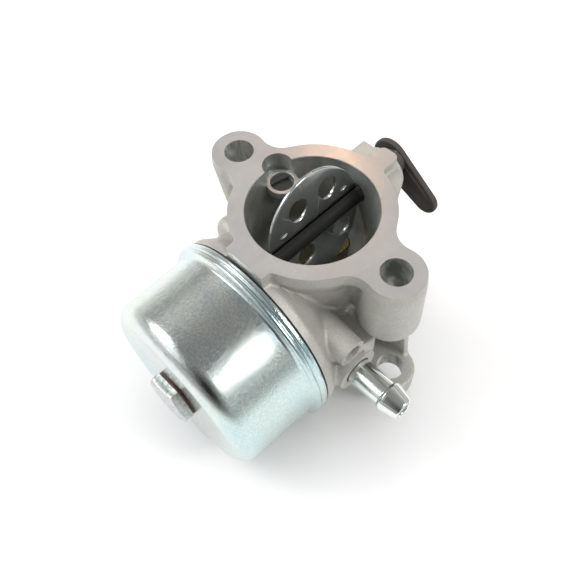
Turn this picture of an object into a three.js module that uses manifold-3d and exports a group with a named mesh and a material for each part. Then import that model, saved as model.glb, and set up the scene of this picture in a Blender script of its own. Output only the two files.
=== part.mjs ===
// Small-engine float-bowl carburetor, lying with its air flange up and its float bowl to the side.
// Millimetres. +Z runs up the bore from the engine flange to the air-cleaner flange, -Y points into
// the float bowl, +X points out of the fuel inlet. The origin is the centre of the engine flange face.

import * as THREE from "three";
import { mergeVertices } from "three/addons/utils/BufferGeometryUtils.js";
import Module from "manifold-3d";

const wasm = await Module();
wasm.setup();

// ---------------------------------------------------------------- driving dimensions
const CLEAR = 0.3; // running or seating gap between separate pieces
const REACH = 1.0; // how far a cutter runs past the face it opens

const HEIGHT = 47.5; // engine flange face to air flange face
const MOUTH_R = 15.3;
const CHOKE_BORE_R = 15.0;
const VENTURI_R = 10.2;
const THROTTLE_BORE_R = 9.5;

const CHOKE_Z = 40.0; // choke shaft axis, parallel to Y
const BOWL_Z = 19.0; // float bowl, main jet and bowl screw axis, parallel to Y
const THROTTLE_Z = 7.4; // throttle shaft axis, parallel to Y

const AIR_FLANGE = { ring: 19.2, ear: 24.65, earR: 6.6, blend: 5.5, thick: 4.25 };
const ENGINE_FLANGE = { ring: 15.5, ear: 28.0, earR: 6.5, blend: 9.0, thick: 5.7 };
const STUD_HOLE_R = 3.55;
const COLUMN_TOP_R = 6.9; // posts under the air flange ears
const LEFT_COLUMN = { side: -1, footZ: 30.5, footR: 5.2, round: 1.4 };
const RIGHT_COLUMN = { side: 1, footZ: 28.0, footR: 7.5, round: 2.8 };

const LAND_Y = -20.9; // face on which the bowl gasket seats
const LAND_R = 25.5;
const LAND_THICK = 1.9;
const STEM_R = 5.2; // post down the middle of the bowl
const STEM_END_Y = -44.9;

const GASKET_THICK = 0.4;
const BOWL_RIM_Y = LAND_Y - 2 * CLEAR - GASKET_THICK;
const BOWL_RIM_R = 25.9;
const BOWL_WALL_R = 24.2;
const BOWL_FLOOR_Y = -46.0;
const BOWL_CORNER_R = 4.5;
const BOWL_SHEET = 0.75;

const SCREW_AF = 12.7; // bowl screw, across flats
const SCREW_HEAD = 2.7;
const SCREW_TURN = 0.44; // radians the hex is turned from having a corner on +Z
const SCREW_SHANK_R = 3.7;
const WASHER = { inner: 4.2, outer: 6.3, thick: 0.5 };

const CHOKE_SHAFT_R = 2.4;
// The plate's half sizes along and across its shaft, and where its middle lies along the shaft.
const CHOKE_PLATE = { alongR: 14.2, acrossR: 15.3, thick: 0.8, y: 0.5 };
const CHOKE_HOLE_R = 2.7;
const CHOKE_LEAN = -0.19; // radians the open plate leans from upright, towards -X
const CHOKE_BOSS_END_Y = 25.3;
const CHOKE_LEVER = { y: 29.1, thick: 1.6, hub: [-1.9, -0.8], hubR: 5.15, tip: [10.2, -7.7], tipR: 3.65 };

const THROTTLE_SHAFT_R = 2.1;
const THROTTLE_PLATE_R = 9.2;
const THROTTLE_PLATE_THICK = 0.9;
const THROTTLE_TILT = 0.14; // radians the closed plate sits past square
const THROTTLE_BOSS_END_Y = 19.8;
const THROTTLE_LEVER = { y: 25.0, thick: 1.5, hubR: 4.5, tip: [-14.0, 6.6], tipR: 3.2 };
const PLATE_SCREW_Y = 3.6;

const FUEL_Y = -11.8; // fuel inlet tube axis, parallel to X
const FUEL_Z = 19.5;
const FUEL_BOSS_END_X = 26.4;
const FUEL_TIP_X = 40.8;
const FUEL_TUBE_R = 3.4;
const FUEL_BARB_R = 4.0;
const FUEL_BORE_R = 2.1;

const PILOT_Y = -13.0; // pilot jet boss axis, parallel to X
const PILOT_Z = 28.8;
const PILOT_END_X = 25.4;
const PILOT_BOSS_R = 3.6;
const PILOT_ROOT_R = 5.3; // where its boss leaves the throat
const PILOT_SEAT_R = 2.1;

const VENT = [-13.4, 3.1]; // bowl vent in the wall of the mouth
const VENT_RING_R = 3.9;
const VENT_HOLE_R = 2.9;
const VENT_TOP_Z = 43.0;
const VENT_FOOT_Z = 40.3;
const SCALLOP = [-14.8, 3.3];
const SCALLOP_R = 3.6;

const NEEDLE_X = 14.5; // inlet needle axis, parallel to Y
const HINGE_X = 20.2; // float hinge axis, parallel to Z
const HINGE_Y = -23.6;
const HINGE_PIN_R = 0.8;

const NOZZLE_Z = 21.5; // nozzle axis, parallel to Y
const NOZZLE_R = 1.5;
const NOZZLE_TIP_R = 1.25; // where it crosses the bore
const NOZZLE_END_Y = 13.3;

const IDLE_SCREW_Y = 21.4; // idle speed screw axis, parallel to X
const IDLE_SCREW_Z = 14.4;
const IDLE_SCREW_R = 1.8;
const IDLE_LUG = { x0: -12.5, x1: -8.5, y1: 24.5, halfZ: 3.4 };

// ---------------------------------------------------------------- solids
// A closed three.js geometry as a manifold solid, turned the right way out.
function solid(geometry) {
  const bare = geometry.clone();
  bare.deleteAttribute("normal");
  bare.deleteAttribute("uv");
  const merged = mergeVertices(bare, 1e-4);
  const vertProperties = new Float32Array(merged.attributes.position.array);
  const triangles = [];
  let volume = 0;
  const corner = (i) => new THREE.Vector3().fromArray(vertProperties, 3 * i);
  for (let i = 0; i < merged.index.count; i += 3) {
    const [a, b, c] = [0, 1, 2].map((k) => merged.index.getX(i + k));
    if (a === b || b === c || c === a) continue;
    triangles.push([a, b, c]);
    volume += corner(a).dot(corner(b).cross(corner(c)));
  }
  const outward = volume > 0 ? triangles : triangles.map(([a, b, c]) => [a, c, b]);
  const triVerts = new Uint32Array(outward.flat());
  return new wasm.Manifold(new wasm.Mesh({ numProp: 3, vertProperties, triVerts }));
}

const join = (parts) => parts.reduce((whole, part) => whole.add(part));
const cut = (whole, tools) => tools.reduce((rest, tool) => rest.subtract(tool), whole);

// Turns a geometry made along +Y so that it runs along the named axis, then moves it to "at".
function aim(geometry, axis, at) {
  if (axis === "x") geometry.rotateZ(-Math.PI / 2);
  if (axis === "z") geometry.rotateX(Math.PI / 2);
  return geometry.translate(...at);
}

// The point that lies at "along" on an axis through the two other coordinates of "centre".
function onAxis(axis, centre, along) {
  if (axis === "x") return [along, centre[0], centre[1]];
  if (axis === "y") return [centre[0], along, centre[1]];
  return [centre[0], centre[1], along];
}

// A round rod from one station to another along an axis; "endR" makes it taper.
function rod(axis, centre, from, to, r, endR = r, sides = r > 2 ? 20 : 14) {
  const length = Math.abs(to - from);
  const [low, high] = to > from ? [r, endR] : [endR, r];
  const geometry = new THREE.CylinderGeometry(high, low, length, sides);
  return solid(aim(geometry, axis, onAxis(axis, centre, (from + to) / 2)));
}

// A turned solid: [radius, station] points along an axis, closed on the axis or on itself.
function turned(axis, centre, profile, sides = 32) {
  const points = profile.map(([r, s]) => new THREE.Vector2(r, s));
  return solid(aim(new THREE.LatheGeometry(points, sides), axis, onAxis(axis, centre, 0)));
}

function tube(axis, centre, from, to, inner, outer, sides = 24) {
  const profile = [[inner, from], [outer, from], [outer, to], [inner, to], [inner, from]];
  return turned(axis, centre, profile, sides);
}

function block(x0, x1, y0, y1, z0, z1) {
  const geometry = new THREE.BoxGeometry(x1 - x0, y1 - y0, z1 - z0);
  return solid(geometry.translate((x0 + x1) / 2, (y0 + y1) / 2, (z0 + z1) / 2));
}

// A flat shape extruded upwards from z0 to z1.
function slab(shape, z0, z1, curveSegments = 6) {
  const geometry = new THREE.ExtrudeGeometry(shape, { depth: z1 - z0, bevelEnabled: false, curveSegments });
  return solid(geometry.translate(0, 0, z0));
}

// A shape drawn in X and Z, extruded along +Y from y0.
function plateXZ(shape, y0, thick, curveSegments = 10) {
  const geometry = new THREE.ExtrudeGeometry(shape, { depth: thick, bevelEnabled: false, curveSegments });
  return solid(geometry.rotateX(Math.PI / 2).translate(0, y0 + thick, 0));
}

// Where a point given as [x, z] lies in a frame that is turned by "angle" about Y.
function inTurned([x, z], angle) {
  return [x * Math.cos(angle) - z * Math.sin(angle), x * Math.sin(angle) + z * Math.cos(angle)];
}

// Rounded bar: the outline that wraps a circle at each end, with straight sides between them.
function barShape([x0, y0], r0, [x1, y1], r1) {
  const length = Math.hypot(x1 - x0, y1 - y0);
  const heading = Math.atan2(y1 - y0, x1 - x0);
  const flare = Math.acos((r0 - r1) / length);
  const shape = new THREE.Shape();
  shape.absarc(x1, y1, r1, heading - flare, heading + flare, false);
  shape.absarc(x0, y0, r0, heading + flare, heading - flare + 2 * Math.PI, false);
  shape.closePath();
  return shape;
}

// Two-eared flange: a ring with an ear each side, joined by concave arcs.
function flangeShape({ ring, ear, earR, blend }) {
  const a = ring + blend;
  const b = earR + blend;
  const blendX = (a * a - b * b + ear * ear) / (2 * ear);
  const blendY = Math.sqrt(a * a - blendX * blendX);
  const atRing = Math.atan2(blendY, blendX);
  const atEar = Math.atan2(blendY, blendX - ear);
  const shape = new THREE.Shape();
  shape.absarc(ear, 0, earR, -atEar, atEar, false);
  shape.absarc(blendX, blendY, blend, atEar + Math.PI, atRing + Math.PI, true);
  shape.absarc(0, 0, ring, atRing, Math.PI - atRing, false);
  shape.absarc(-blendX, blendY, blend, -atRing, -atEar, true);
  shape.absarc(-ear, 0, earR, Math.PI - atEar, Math.PI + atEar, false);
  shape.absarc(-blendX, -blendY, blend, atEar, atRing, true);
  shape.absarc(0, 0, ring, Math.PI + atRing, 2 * Math.PI - atRing, false);
  shape.absarc(blendX, -blendY, blend, Math.PI - atRing, Math.PI - atEar, true);
  shape.closePath();
  return shape;
}

// ---------------------------------------------------------------- meshes
const carburetor = new THREE.Group();

// A sub-assembly on a shaft parallel to Y, turned by "angle" about it.
function shaftGroup(z, angle) {
  const group = new THREE.Group();
  group.position.z = z;
  group.rotation.y = angle;
  carburetor.add(group);
  return group;
}

function addPart(name, part, [color, roughness, metalness], group = carburetor) {
  const { vertProperties, triVerts } = part.getMesh();
  const geometry = new THREE.BufferGeometry();
  geometry.setAttribute("position", new THREE.BufferAttribute(new Float32Array(vertProperties), 3));
  geometry.setIndex(new THREE.BufferAttribute(new Uint32Array(triVerts), 1));
  geometry.computeVertexNormals();
  const mesh = new THREE.Mesh(geometry, new THREE.MeshStandardMaterial({ color, roughness, metalness }));
  mesh.name = name;
  group.add(mesh);
}

const CAST = [0xb9b4ad, 0.55, 0.6];
const ZINC = [0xc9d1d2, 0.2, 1.0];
const STEEL = [0x9a9da0, 0.3, 1.0];
const BRASS = [0xb8924a, 0.3, 1.0];
const BLACK_PLASTIC = [0x332f2d, 0.45, 0.0];
const RUBBER = [0x1d1d1d, 0.8, 0.0];
const FIBRE = [0x8a4a35, 0.8, 0.0];
const FELT = [0x4a4844, 0.95, 0.0];

// ---------------------------------------------------------------- body casting
function airFlange() {
  const under = HEIGHT - AIR_FLANGE.thick;
  const foot = block(-5.7, 5.7, LAND_Y, -AIR_FLANGE.ring + 2, under, HEIGHT);
  return join([slab(flangeShape(AIR_FLANGE), under, HEIGHT), foot]);
}

// Solid post under an air flange ear, with a rounded foot and a web to the throat.
function earColumn({ side, footZ, footR, round }) {
  const x = side * AIR_FLANGE.ear;
  const top = HEIGHT - AIR_FLANGE.thick / 2;
  const profile = [[0, footZ], [footR - round, footZ]];
  for (let i = 1; i <= 3; i++) {
    const a = (i / 3) * (Math.PI / 2);
    profile.push([footR - round + round * Math.sin(a), footZ + round - round * Math.cos(a)]);
  }
  profile.push([COLUMN_TOP_R, top], [0, top]);
  const inner = side * 12;
  const web = block(Math.min(inner, x), Math.max(inner, x), -4.6, 4.6, footZ + 2.5, top);
  return join([turned("z", [x, 0], profile, 20), web]);
}

function throat() {
  return turned("z", [0, 0], [
    [0, 3], [12.8, 3], [12.8, 13], [14.0, 19], [16.2, 25], [17.3, 30],
    [17.6, 36], [17.6, 40.4], [18.4, 41.0], [18.4, 44.5], [0, 44.5],
  ]);
}

// The bowl cover: a flat land for the gasket and a dome that runs up into the throat.
function bowlCover() {
  return turned("y", [0, BOWL_Z], [
    [0, LAND_Y], [LAND_R, LAND_Y], [LAND_R, LAND_Y + LAND_THICK], [24.6, -17.6], [23.0, -14.8],
    [20.0, -11.2], [16.5, -8.0], [13.0, -5.0], [12.2, -4], [0, -4],
  ], 40);
}

function chokeBoss() {
  const barrel = rod("y", [0, CHOKE_Z], 12, CHOKE_BOSS_END_Y, 6.2, 5.9);
  const pad = new THREE.Shape();
  const [x0, x1, end, round] = [-0.9, 4.1, 24.8, 1.2];
  pad.moveTo(x0, 14);
  pad.lineTo(x1, 14);
  pad.absarc(x1 - round, end - round, round, 0, Math.PI / 2, false);
  pad.absarc(x0 + round, end - round, round, Math.PI / 2, Math.PI, false);
  pad.closePath();
  const lobe = rod("z", [3.6, 18.6], 37, 45, 5.0, 5.6);
  const tab = block(-6.4, -1.2, 15, 24.2, 42.2, 46.3);
  return join([barrel, slab(pad, CHOKE_Z, HEIGHT), lobe, tab]);
}

function throttleBosses() {
  const near = rod("y", [0, THROTTLE_Z], 8, THROTTLE_BOSS_END_Y, 4.8, 4.4);
  const far = rod("y", [0, THROTTLE_Z], -17.2, -8, 4.2);
  return join([near, far]);
}

function fuelBoss() {
  const barrel = rod("x", [FUEL_Y, FUEL_Z], 8, FUEL_BOSS_END_X, 6.2, 5.8);
  const rib = block(8, 22, -13.6, -9.4, FUEL_Z, PILOT_Z);
  const shoulder = block(8, 25.4, -12, -4.6, 14.6, 26);
  return join([barrel, rib, shoulder]);
}

function pilotBoss() {
  return rod("x", [PILOT_Y, PILOT_Z], 8, PILOT_END_X, PILOT_ROOT_R, PILOT_BOSS_R, 28);
}

// Blind boss on the far side of the throat, with a rounded nose, and a plain lug beside it.
function farKnob() {
  const nose = turned("x", [-11.2, 34.4], [
    [0, -20.8], [1.9, -20.2], [3.1, -18.8], [3.5, -17], [3.7, -8], [0, -8],
  ], 28);
  return join([nose, rod("z", [-11.4, -16.0], 26, 39.5, 3.4, 3.0)]);
}

function idleLug() {
  const { x0, x1, y1, halfZ } = IDLE_LUG;
  return block(x0, x1, 5, y1, IDLE_SCREW_Z - halfZ, IDLE_SCREW_Z + halfZ);
}

// Gusset that stands on the near engine flange ear and runs back to the throat.
function earGusset() {
  const shape = new THREE.Shape();
  shape.moveTo(9, ENGINE_FLANGE.thick - 2);
  shape.lineTo(28.6, ENGINE_FLANGE.thick - 2);
  shape.lineTo(27.8, 12);
  shape.lineTo(23, RIGHT_COLUMN.footZ + 2);
  shape.lineTo(9, RIGHT_COLUMN.footZ + 2);
  shape.closePath();
  return plateXZ(shape, 4.8, 2.2);
}

function idlePocketBoss() {
  return rod("x", [0, 11], -16.2, -8, 5.4, 6.2);
}

// Straight choke bore, smooth run-in to the venturi, then the throttle bore.
function mainBore() {
  const profile = [[0, HEIGHT + REACH], [MOUTH_R, HEIGHT + REACH], [MOUTH_R, HEIGHT - 1.6]];
  profile.push([CHOKE_BORE_R, HEIGHT - 3.0], [CHOKE_BORE_R, 27]);
  for (let i = 1; i <= 5; i++) {
    const t = i / 5;
    const blend = (1 - Math.cos(Math.PI * t)) / 2;
    profile.push([CHOKE_BORE_R + (VENTURI_R - CHOKE_BORE_R) * blend, 27 - 9.5 * t]);
  }
  profile.push([THROTTLE_BORE_R, 14], [THROTTLE_BORE_R, -REACH], [0, -REACH]);
  return turned("z", [0, 0], profile, 40);
}

// Scallop in the mouth over the vent, and the ringed vent pocket that stands into the bore.
function ventScallop() {
  return rod("z", SCALLOP, VENT_TOP_Z - 0.8, HEIGHT + REACH, SCALLOP_R - 0.2, SCALLOP_R + 0.1);
}

function ventRing() {
  return rod("z", VENT, VENT_FOOT_Z, VENT_TOP_Z, VENT_RING_R);
}

function ventPassage() {
  const pocket = rod("z", VENT, VENT_FOOT_Z + 1, VENT_TOP_Z + REACH, VENT_HOLE_R);
  const drilling = rod("z", [VENT[0] - 2.5, VENT[1]], 36, VENT_TOP_Z, 0.7, 0.7, 12);
  return [pocket, drilling];
}

function shaftBores() {
  const choke = rod("y", [0, CHOKE_Z], -17.6, CHOKE_BOSS_END_Y + REACH, CHOKE_SHAFT_R + CLEAR);
  const throttleR = THROTTLE_SHAFT_R + CLEAR;
  const throttle = rod("y", [0, THROTTLE_Z], -15.6, THROTTLE_BOSS_END_Y + REACH, throttleR);
  return [choke, throttle];
}

function studHoles() {
  const holes = [];
  for (const side of [-1, 1]) {
    const airTop = HEIGHT + REACH;
    holes.push(rod("z", [side * AIR_FLANGE.ear, 0], RIGHT_COLUMN.footZ - REACH, airTop, STUD_HOLE_R));
    holes.push(rod("z", [side * ENGINE_FLANGE.ear, 0], -REACH, ENGINE_FLANGE.thick + REACH, STUD_HOLE_R));
  }
  return holes;
}

function fuelPassages() {
  const tubeSeat = rod("x", [FUEL_Y, FUEL_Z], 18, FUEL_BOSS_END_X + REACH, FUEL_TUBE_R + CLEAR);
  const feed = rod("x", [FUEL_Y, FUEL_Z], NEEDLE_X - 1.4, 19, 1.6, 1.6, 20);
  const drop = rod("y", [NEEDLE_X, FUEL_Z], -16, FUEL_Y, 1.4, 1.4, 20);
  const seat = rod("y", [NEEDLE_X, FUEL_Z], LAND_Y - 3, -15.2, 3.3);
  return [tubeSeat, feed, drop, seat];
}

function pilotPassages() {
  const seat = rod("x", [PILOT_Y, PILOT_Z], 15, PILOT_END_X + REACH, PILOT_SEAT_R);
  const feed = rod("x", [PILOT_Y, PILOT_Z], 12, 16, 1.2, 1.2, 20);
  return [seat, feed];
}

// Bores down the stem for the bowl screw, main jet and nozzle, which crosses the venturi.
function stemBores() {
  const centre = [0, BOWL_Z];
  const screw = rod("y", centre, STEM_END_Y - REACH, -38, SCREW_SHANK_R + CLEAR);
  const jet = rod("y", centre, -38.5, -32, 2.7);
  const nozzle = rod("y", [0, NOZZLE_Z], -32.5, -9, NOZZLE_R + CLEAR);
  const farSocket = rod("y", [0, NOZZLE_Z], 8, NOZZLE_END_Y + CLEAR, NOZZLE_TIP_R + CLEAR);
  return [screw, jet, nozzle, farSocket];
}

// Everything that stands inside the bowl: the stem, the needle seat boss and the hinge posts.
function chamberFittings() {
  const stem = rod("y", [0, BOWL_Z], STEM_END_Y, LAND_Y + 2, STEM_R, STEM_R + 0.6);
  const seatBoss = rod("y", [NEEDLE_X, FUEL_Z], -21.4, LAND_Y + 2, 4.4);
  const posts = [-1, 1].map((side) => {
    const z = FUEL_Z + side * 5.6;
    return block(HINGE_X - 1.8, HINGE_X + 1.4, HINGE_Y - 1.9, LAND_Y + 2, z - 0.9, z + 0.9);
  });
  return join([stem, seatBoss, ...posts]);
}

function bodyCasting() {
  const recess = rod("y", [0, BOWL_Z], LAND_Y - REACH, LAND_Y + 1.0, 22.4, 22.4, 36);
  const outside = join([
    airFlange(), earColumn(LEFT_COLUMN), earColumn(RIGHT_COLUMN), throat(), bowlCover(), chokeBoss(),
    throttleBosses(), fuelBoss(), pilotBoss(), farKnob(), idleLug(), idlePocketBoss(), earGusset(),
    slab(flangeShape(ENGINE_FLANGE), 0, ENGINE_FLANGE.thick),
  ]);
  const underEngineFace = block(-30, 30, -16.4, 30, -12, 0);
  const hollowed = cut(outside, [recess, underEngineFace, mainBore(), ventScallop()]);
  const hingeHole = rod("z", [HINGE_X, HINGE_Y], FUEL_Z - 8, FUEL_Z + 8, HINGE_PIN_R + CLEAR);
  const idleHole = rod("x", [IDLE_SCREW_Y, IDLE_SCREW_Z], -14, -7, IDLE_SCREW_R + CLEAR);
  const plugSeat = rod("x", [0, 11], -17, -14.6, 4.3);
  const plugWell = rod("x", [0, 11], -15, -12.6, 3.4);
  return cut(join([hollowed, ventRing(), chamberFittings()]), [
    hingeHole, idleHole, plugSeat, plugWell, ...ventPassage(), ...shaftBores(),
    ...studHoles(), ...fuelPassages(), ...pilotPassages(), ...stemBores(),
  ]);
}

addPart("body_casting", bodyCasting(), CAST);

// ---------------------------------------------------------------- choke
const choke = shaftGroup(CHOKE_Z, CHOKE_LEAN);

// Moulded in one with its lever, and slotted across the bore for the plate.
function chokeShaft() {
  const { y, thick, hub, hubR, tip, tipR } = CHOKE_LEVER;
  const barrel = rod("y", [0, 0], -17.3, y + 1, CHOKE_SHAFT_R);
  const collar = rod("y", [0, 0], 26.9, y + 0.5, 3.2);
  const outline = barShape(inTurned(hub, CHOKE_LEAN), hubR, inTurned(tip, CHOKE_LEAN), tipR);
  const slotHalf = CHOKE_PLATE.thick / 2 + CLEAR;
  const slotReach = CHOKE_PLATE.alongR + CLEAR;
  const slot = block(-slotHalf, slotHalf, CHOKE_PLATE.y - slotReach, CHOKE_PLATE.y + slotReach, -5, 5);
  return cut(join([barrel, collar, plateXZ(outline, y, thick)]), [slot]);
}

// Thin plate, longer across the shaft than along it, with four air holes and two snap dimples.
function chokePlate() {
  const { alongR, acrossR, thick, y } = CHOKE_PLATE;
  const half = thick / 2;
  const oval = new THREE.CylinderGeometry(alongR, alongR, thick, 40);
  oval.rotateZ(-Math.PI / 2).scale(1, 1, acrossR / alongR).translate(0, y, 0);
  const holeAt = [[-3.2, 8.2], [6.0, 8.2], [-3.4, -6.0], [8.3, -6.0]];
  const holes = holeAt.map((at) => rod("x", at, -REACH, REACH, CHOKE_HOLE_R, CHOKE_HOLE_R, 18));
  const dimples = [-8.6, 10.7].map((at) => block(half - 0.05, half + 0.4, at - 1.4, at + 1.4, 3.8, 5.0));
  return cut(join([solid(oval), ...dimples]), holes);
}

addPart("choke_shaft", chokeShaft(), BLACK_PLASTIC, choke);
addPart("choke_plate", chokePlate(), STEEL, choke);
const chokeSeal = tube("y", [0, 0], CHOKE_BOSS_END_Y + CLEAR, 26.6, CHOKE_SHAFT_R + CLEAR, 4.6);
addPart("choke_shaft_seal", chokeSeal, FELT, choke);

// ---------------------------------------------------------------- throttle
const throttle = shaftGroup(THROTTLE_Z, THROTTLE_TILT);
const plateScrewHoles = () => [-1, 1].map((side) => rod("z", [0, side * PLATE_SCREW_Y], -4, 4, 1.3, 1.3, 16));

// Milled to a flat across the bore, where the plate is screwed down, and grooved for its clip.
function throttleShaft() {
  const barrel = rod("y", [0, 0], -15.3, 27.6, THROTTLE_SHAFT_R);
  const flat = block(-3, 3, -THROTTLE_BORE_R, THROTTLE_BORE_R, -CLEAR, 3);
  const groove = tube("y", [0, 0], 26.7, 27.2, THROTTLE_SHAFT_R - 0.5, THROTTLE_SHAFT_R + 1);
  return cut(barrel, [flat, groove, ...plateScrewHoles()]);
}

function throttlePlate() {
  const disc = rod("z", [0, 0], 0, THROTTLE_PLATE_THICK, THROTTLE_PLATE_R, THROTTLE_PLATE_R, 40);
  return cut(disc, plateScrewHoles());
}

function plateScrew(side) {
  const y = side * PLATE_SCREW_Y;
  const seat = THROTTLE_PLATE_THICK + CLEAR;
  const head = rod("z", [0, y], seat, seat + 1.2, 2.0, 1.7, 20);
  const shank = rod("z", [0, y], -2.7, seat + 0.4, 1.0, 1.0, 16);
  const slot = block(-2.5, 2.5, y - 0.35, y + 0.35, seat + 0.6, seat + 2);
  return cut(join([head, shank]), [slot]);
}

// Flat steel arm with a link hole, and a bent tang that meets the idle speed screw.
function throttleLever() {
  const { y, thick, hubR, tip, tipR } = THROTTLE_LEVER;
  const up = IDLE_SCREW_Z - THROTTLE_Z;
  const linkAt = inTurned(tip, THROTTLE_TILT);
  const arm = plateXZ(barShape([0, 0], hubR, linkAt, tipR), y, thick);
  const stop = plateXZ(barShape([0, 0], hubR, [0.55, up + 0.6], 1.6), y, thick);
  const tang = block(-0.2, 1.3, IDLE_SCREW_Y - 1.6, y + 0.4, up - 1.6, up + 1.8);
  const link = rod("y", linkAt, y - REACH, y + thick + REACH, 1.3, 1.3, 16);
  const hole = rod("y", [0, 0], y - REACH, y + thick + REACH, THROTTLE_SHAFT_R + CLEAR);
  return cut(join([arm, stop, tang]), [link, hole]);
}

function shaftClip() {
  const ring = tube("y", [0, 0], 26.8, 27.1, THROTTLE_SHAFT_R - 0.2, 3.4, 20);
  const mouth = block(-1.2, 1.2, 26, 28, -5, 0);
  return cut(ring, [mouth]);
}

addPart("throttle_shaft", throttleShaft(), STEEL, throttle);
addPart("throttle_plate", throttlePlate(), BRASS, throttle);
addPart("throttle_plate_screw_1", plateScrew(-1), BRASS, throttle);
addPart("throttle_plate_screw_2", plateScrew(1), BRASS, throttle);
addPart("throttle_lever", throttleLever(), ZINC, throttle);
addPart("throttle_shaft_clip", shaftClip(), STEEL, throttle);
const throttleSealY = THROTTLE_BOSS_END_Y + CLEAR;
const throttleSeal = tube("y", [0, 0], throttleSealY, 21.0, THROTTLE_SHAFT_R + CLEAR, 4.1);
addPart("throttle_shaft_seal", throttleSeal, FELT, throttle);

// ---------------------------------------------------------------- springs
class Helix extends THREE.Curve {
  constructor(radius, pitch, turns) {
    super();
    Object.assign(this, { radius, pitch, turns });
  }

  getPoint(t, target = new THREE.Vector3()) {
    const angle = 2 * Math.PI * this.turns * t;
    const x = this.radius * Math.cos(angle);
    const z = this.radius * Math.sin(angle);
    return target.set(x, this.pitch * this.turns * t, z);
  }
}

function coil(axis, centre, from, radius, pitch, turns, wireR) {
  const section = new THREE.Shape();
  section.absarc(0, 0, wireR, 0, 2 * Math.PI, false);
  const extrudePath = new Helix(radius, pitch, turns);
  const settings = { steps: Math.round(12 * turns), curveSegments: 3, extrudePath };
  return solid(aim(new THREE.ExtrudeGeometry(section, settings), axis, onAxis(axis, centre, from)));
}

const returnSpring = coil("y", [0, THROTTLE_Z], 21.8, 3.6, 0.95, 2.6, 0.35);
addPart("throttle_return_spring", returnSpring, STEEL);

// ---------------------------------------------------------------- idle speed screw
function idleScrew() {
  const centre = [IDLE_SCREW_Y, IDLE_SCREW_Z];
  const shank = rod("x", centre, -20.2, -1.6, IDLE_SCREW_R, IDLE_SCREW_R - 0.1, 24);
  const head = rod("x", centre, -22.6, -20, 3.1, 3.3, 32);
  const [y, z] = centre;
  const slot = block(-23.6, -21.4, y - 0.45, y + 0.45, z - 4, z + 4);
  return cut(join([shank, head]), [slot]);
}

addPart("idle_speed_screw", idleScrew(), BRASS);
const idleSpring = coil("x", [IDLE_SCREW_Y, IDLE_SCREW_Z], -19.2, 2.6, 1.25, 4.7, 0.38);
addPart("idle_speed_spring", idleSpring, STEEL);

// ---------------------------------------------------------------- fuel inlet
function fuelTube() {
  const tip = FUEL_TIP_X;
  const profile = [
    [FUEL_BORE_R, 18.4], [FUEL_TUBE_R, 18.4], [FUEL_TUBE_R, tip - 5.6], [FUEL_BARB_R, tip - 5.1],
    [FUEL_BARB_R - 0.1, tip - 4.4], [FUEL_TUBE_R - 0.4, tip], [FUEL_BORE_R, tip], [FUEL_BORE_R, 18.4],
  ];
  return turned("x", [FUEL_Y, FUEL_Z], profile, 32);
}

function needleSeat() {
  return turned("y", [NEEDLE_X, FUEL_Z], [
    [0.9, -15.5], [3.0, -15.5], [3.0, -21.3], [2.3, -21.3], [2.3, -18.0], [0.9, -17.2], [0.9, -15.5],
  ], 32);
}

function inletNeedle() {
  return turned("y", [NEEDLE_X, FUEL_Z], [
    [0, -24.2], [1.0, -24.2], [1.0, -23.0], [2.0, -22.6], [2.0, -18.5], [0.6, -17.6], [0, -17.6],
  ], 24);
}

addPart("fuel_inlet_tube", fuelTube(), ZINC);
addPart("needle_seat", needleSeat(), BRASS);
addPart("inlet_needle", inletNeedle(), STEEL);
const needleClip = tube("y", [NEEDLE_X, FUEL_Z], -23.9, -23.5, 1.3, 2.5, 20);
addPart("needle_clip", needleClip, STEEL);

// ---------------------------------------------------------------- jets, nozzle and plugs
// Brass tube that crosses the bore, drilled from its foot, with its outlet facing downstream.
function mainNozzle() {
  const centre = [0, NOZZLE_Z];
  const barrel = turned("y", centre, [
    [0, -31.6], [NOZZLE_R, -31.6], [NOZZLE_R, -11.4], [NOZZLE_TIP_R, -10.6], [NOZZLE_TIP_R, NOZZLE_END_Y],
    [0, NOZZLE_END_Y],
  ], 20);
  const well = rod("y", centre, -32.6, -12, 0.8, 0.8, 16);
  const bore = rod("y", centre, -12.5, 1.0, 0.5, 0.5, 16);
  const outlet = rod("z", [0, 0], NOZZLE_Z - 2, NOZZLE_Z, 0.45, 0.45, 12);
  return cut(barrel, [well, bore, outlet]);
}

function mainJet() {
  const barrel = rod("y", [0, BOWL_Z], -37.7, -32.3, 2.4);
  const orifice = rod("y", [0, BOWL_Z], -38.7, -31.3, 0.5, 0.5, 16);
  const slot = block(-3, 3, -38.7, -37.0, BOWL_Z - 0.4, BOWL_Z + 0.4);
  return cut(barrel, [orifice, slot]);
}

function pilotJet() {
  const barrel = rod("x", [PILOT_Y, PILOT_Z], 16.4, PILOT_END_X - 0.8, PILOT_SEAT_R - CLEAR);
  const orifice = rod("x", [PILOT_Y, PILOT_Z], 15, 22, 0.6, 0.6, 16);
  const slot = block(PILOT_END_X - 1.9, PILOT_END_X, PILOT_Y - 3, PILOT_Y + 3, PILOT_Z - 0.4, PILOT_Z + 0.4);
  return cut(barrel, [orifice, slot]);
}

function welchPlug() {
  return turned("x", [0, 11], [[0, -15.9], [2.2, -15.8], [4.0, -15.3], [4.0, -14.9], [0, -14.9]], 32);
}

addPart("main_nozzle", mainNozzle(), BRASS);
addPart("main_jet", mainJet(), BRASS);
addPart("pilot_jet", pilotJet(), STEEL);
addPart("welch_plug", welchPlug(), STEEL);

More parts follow.
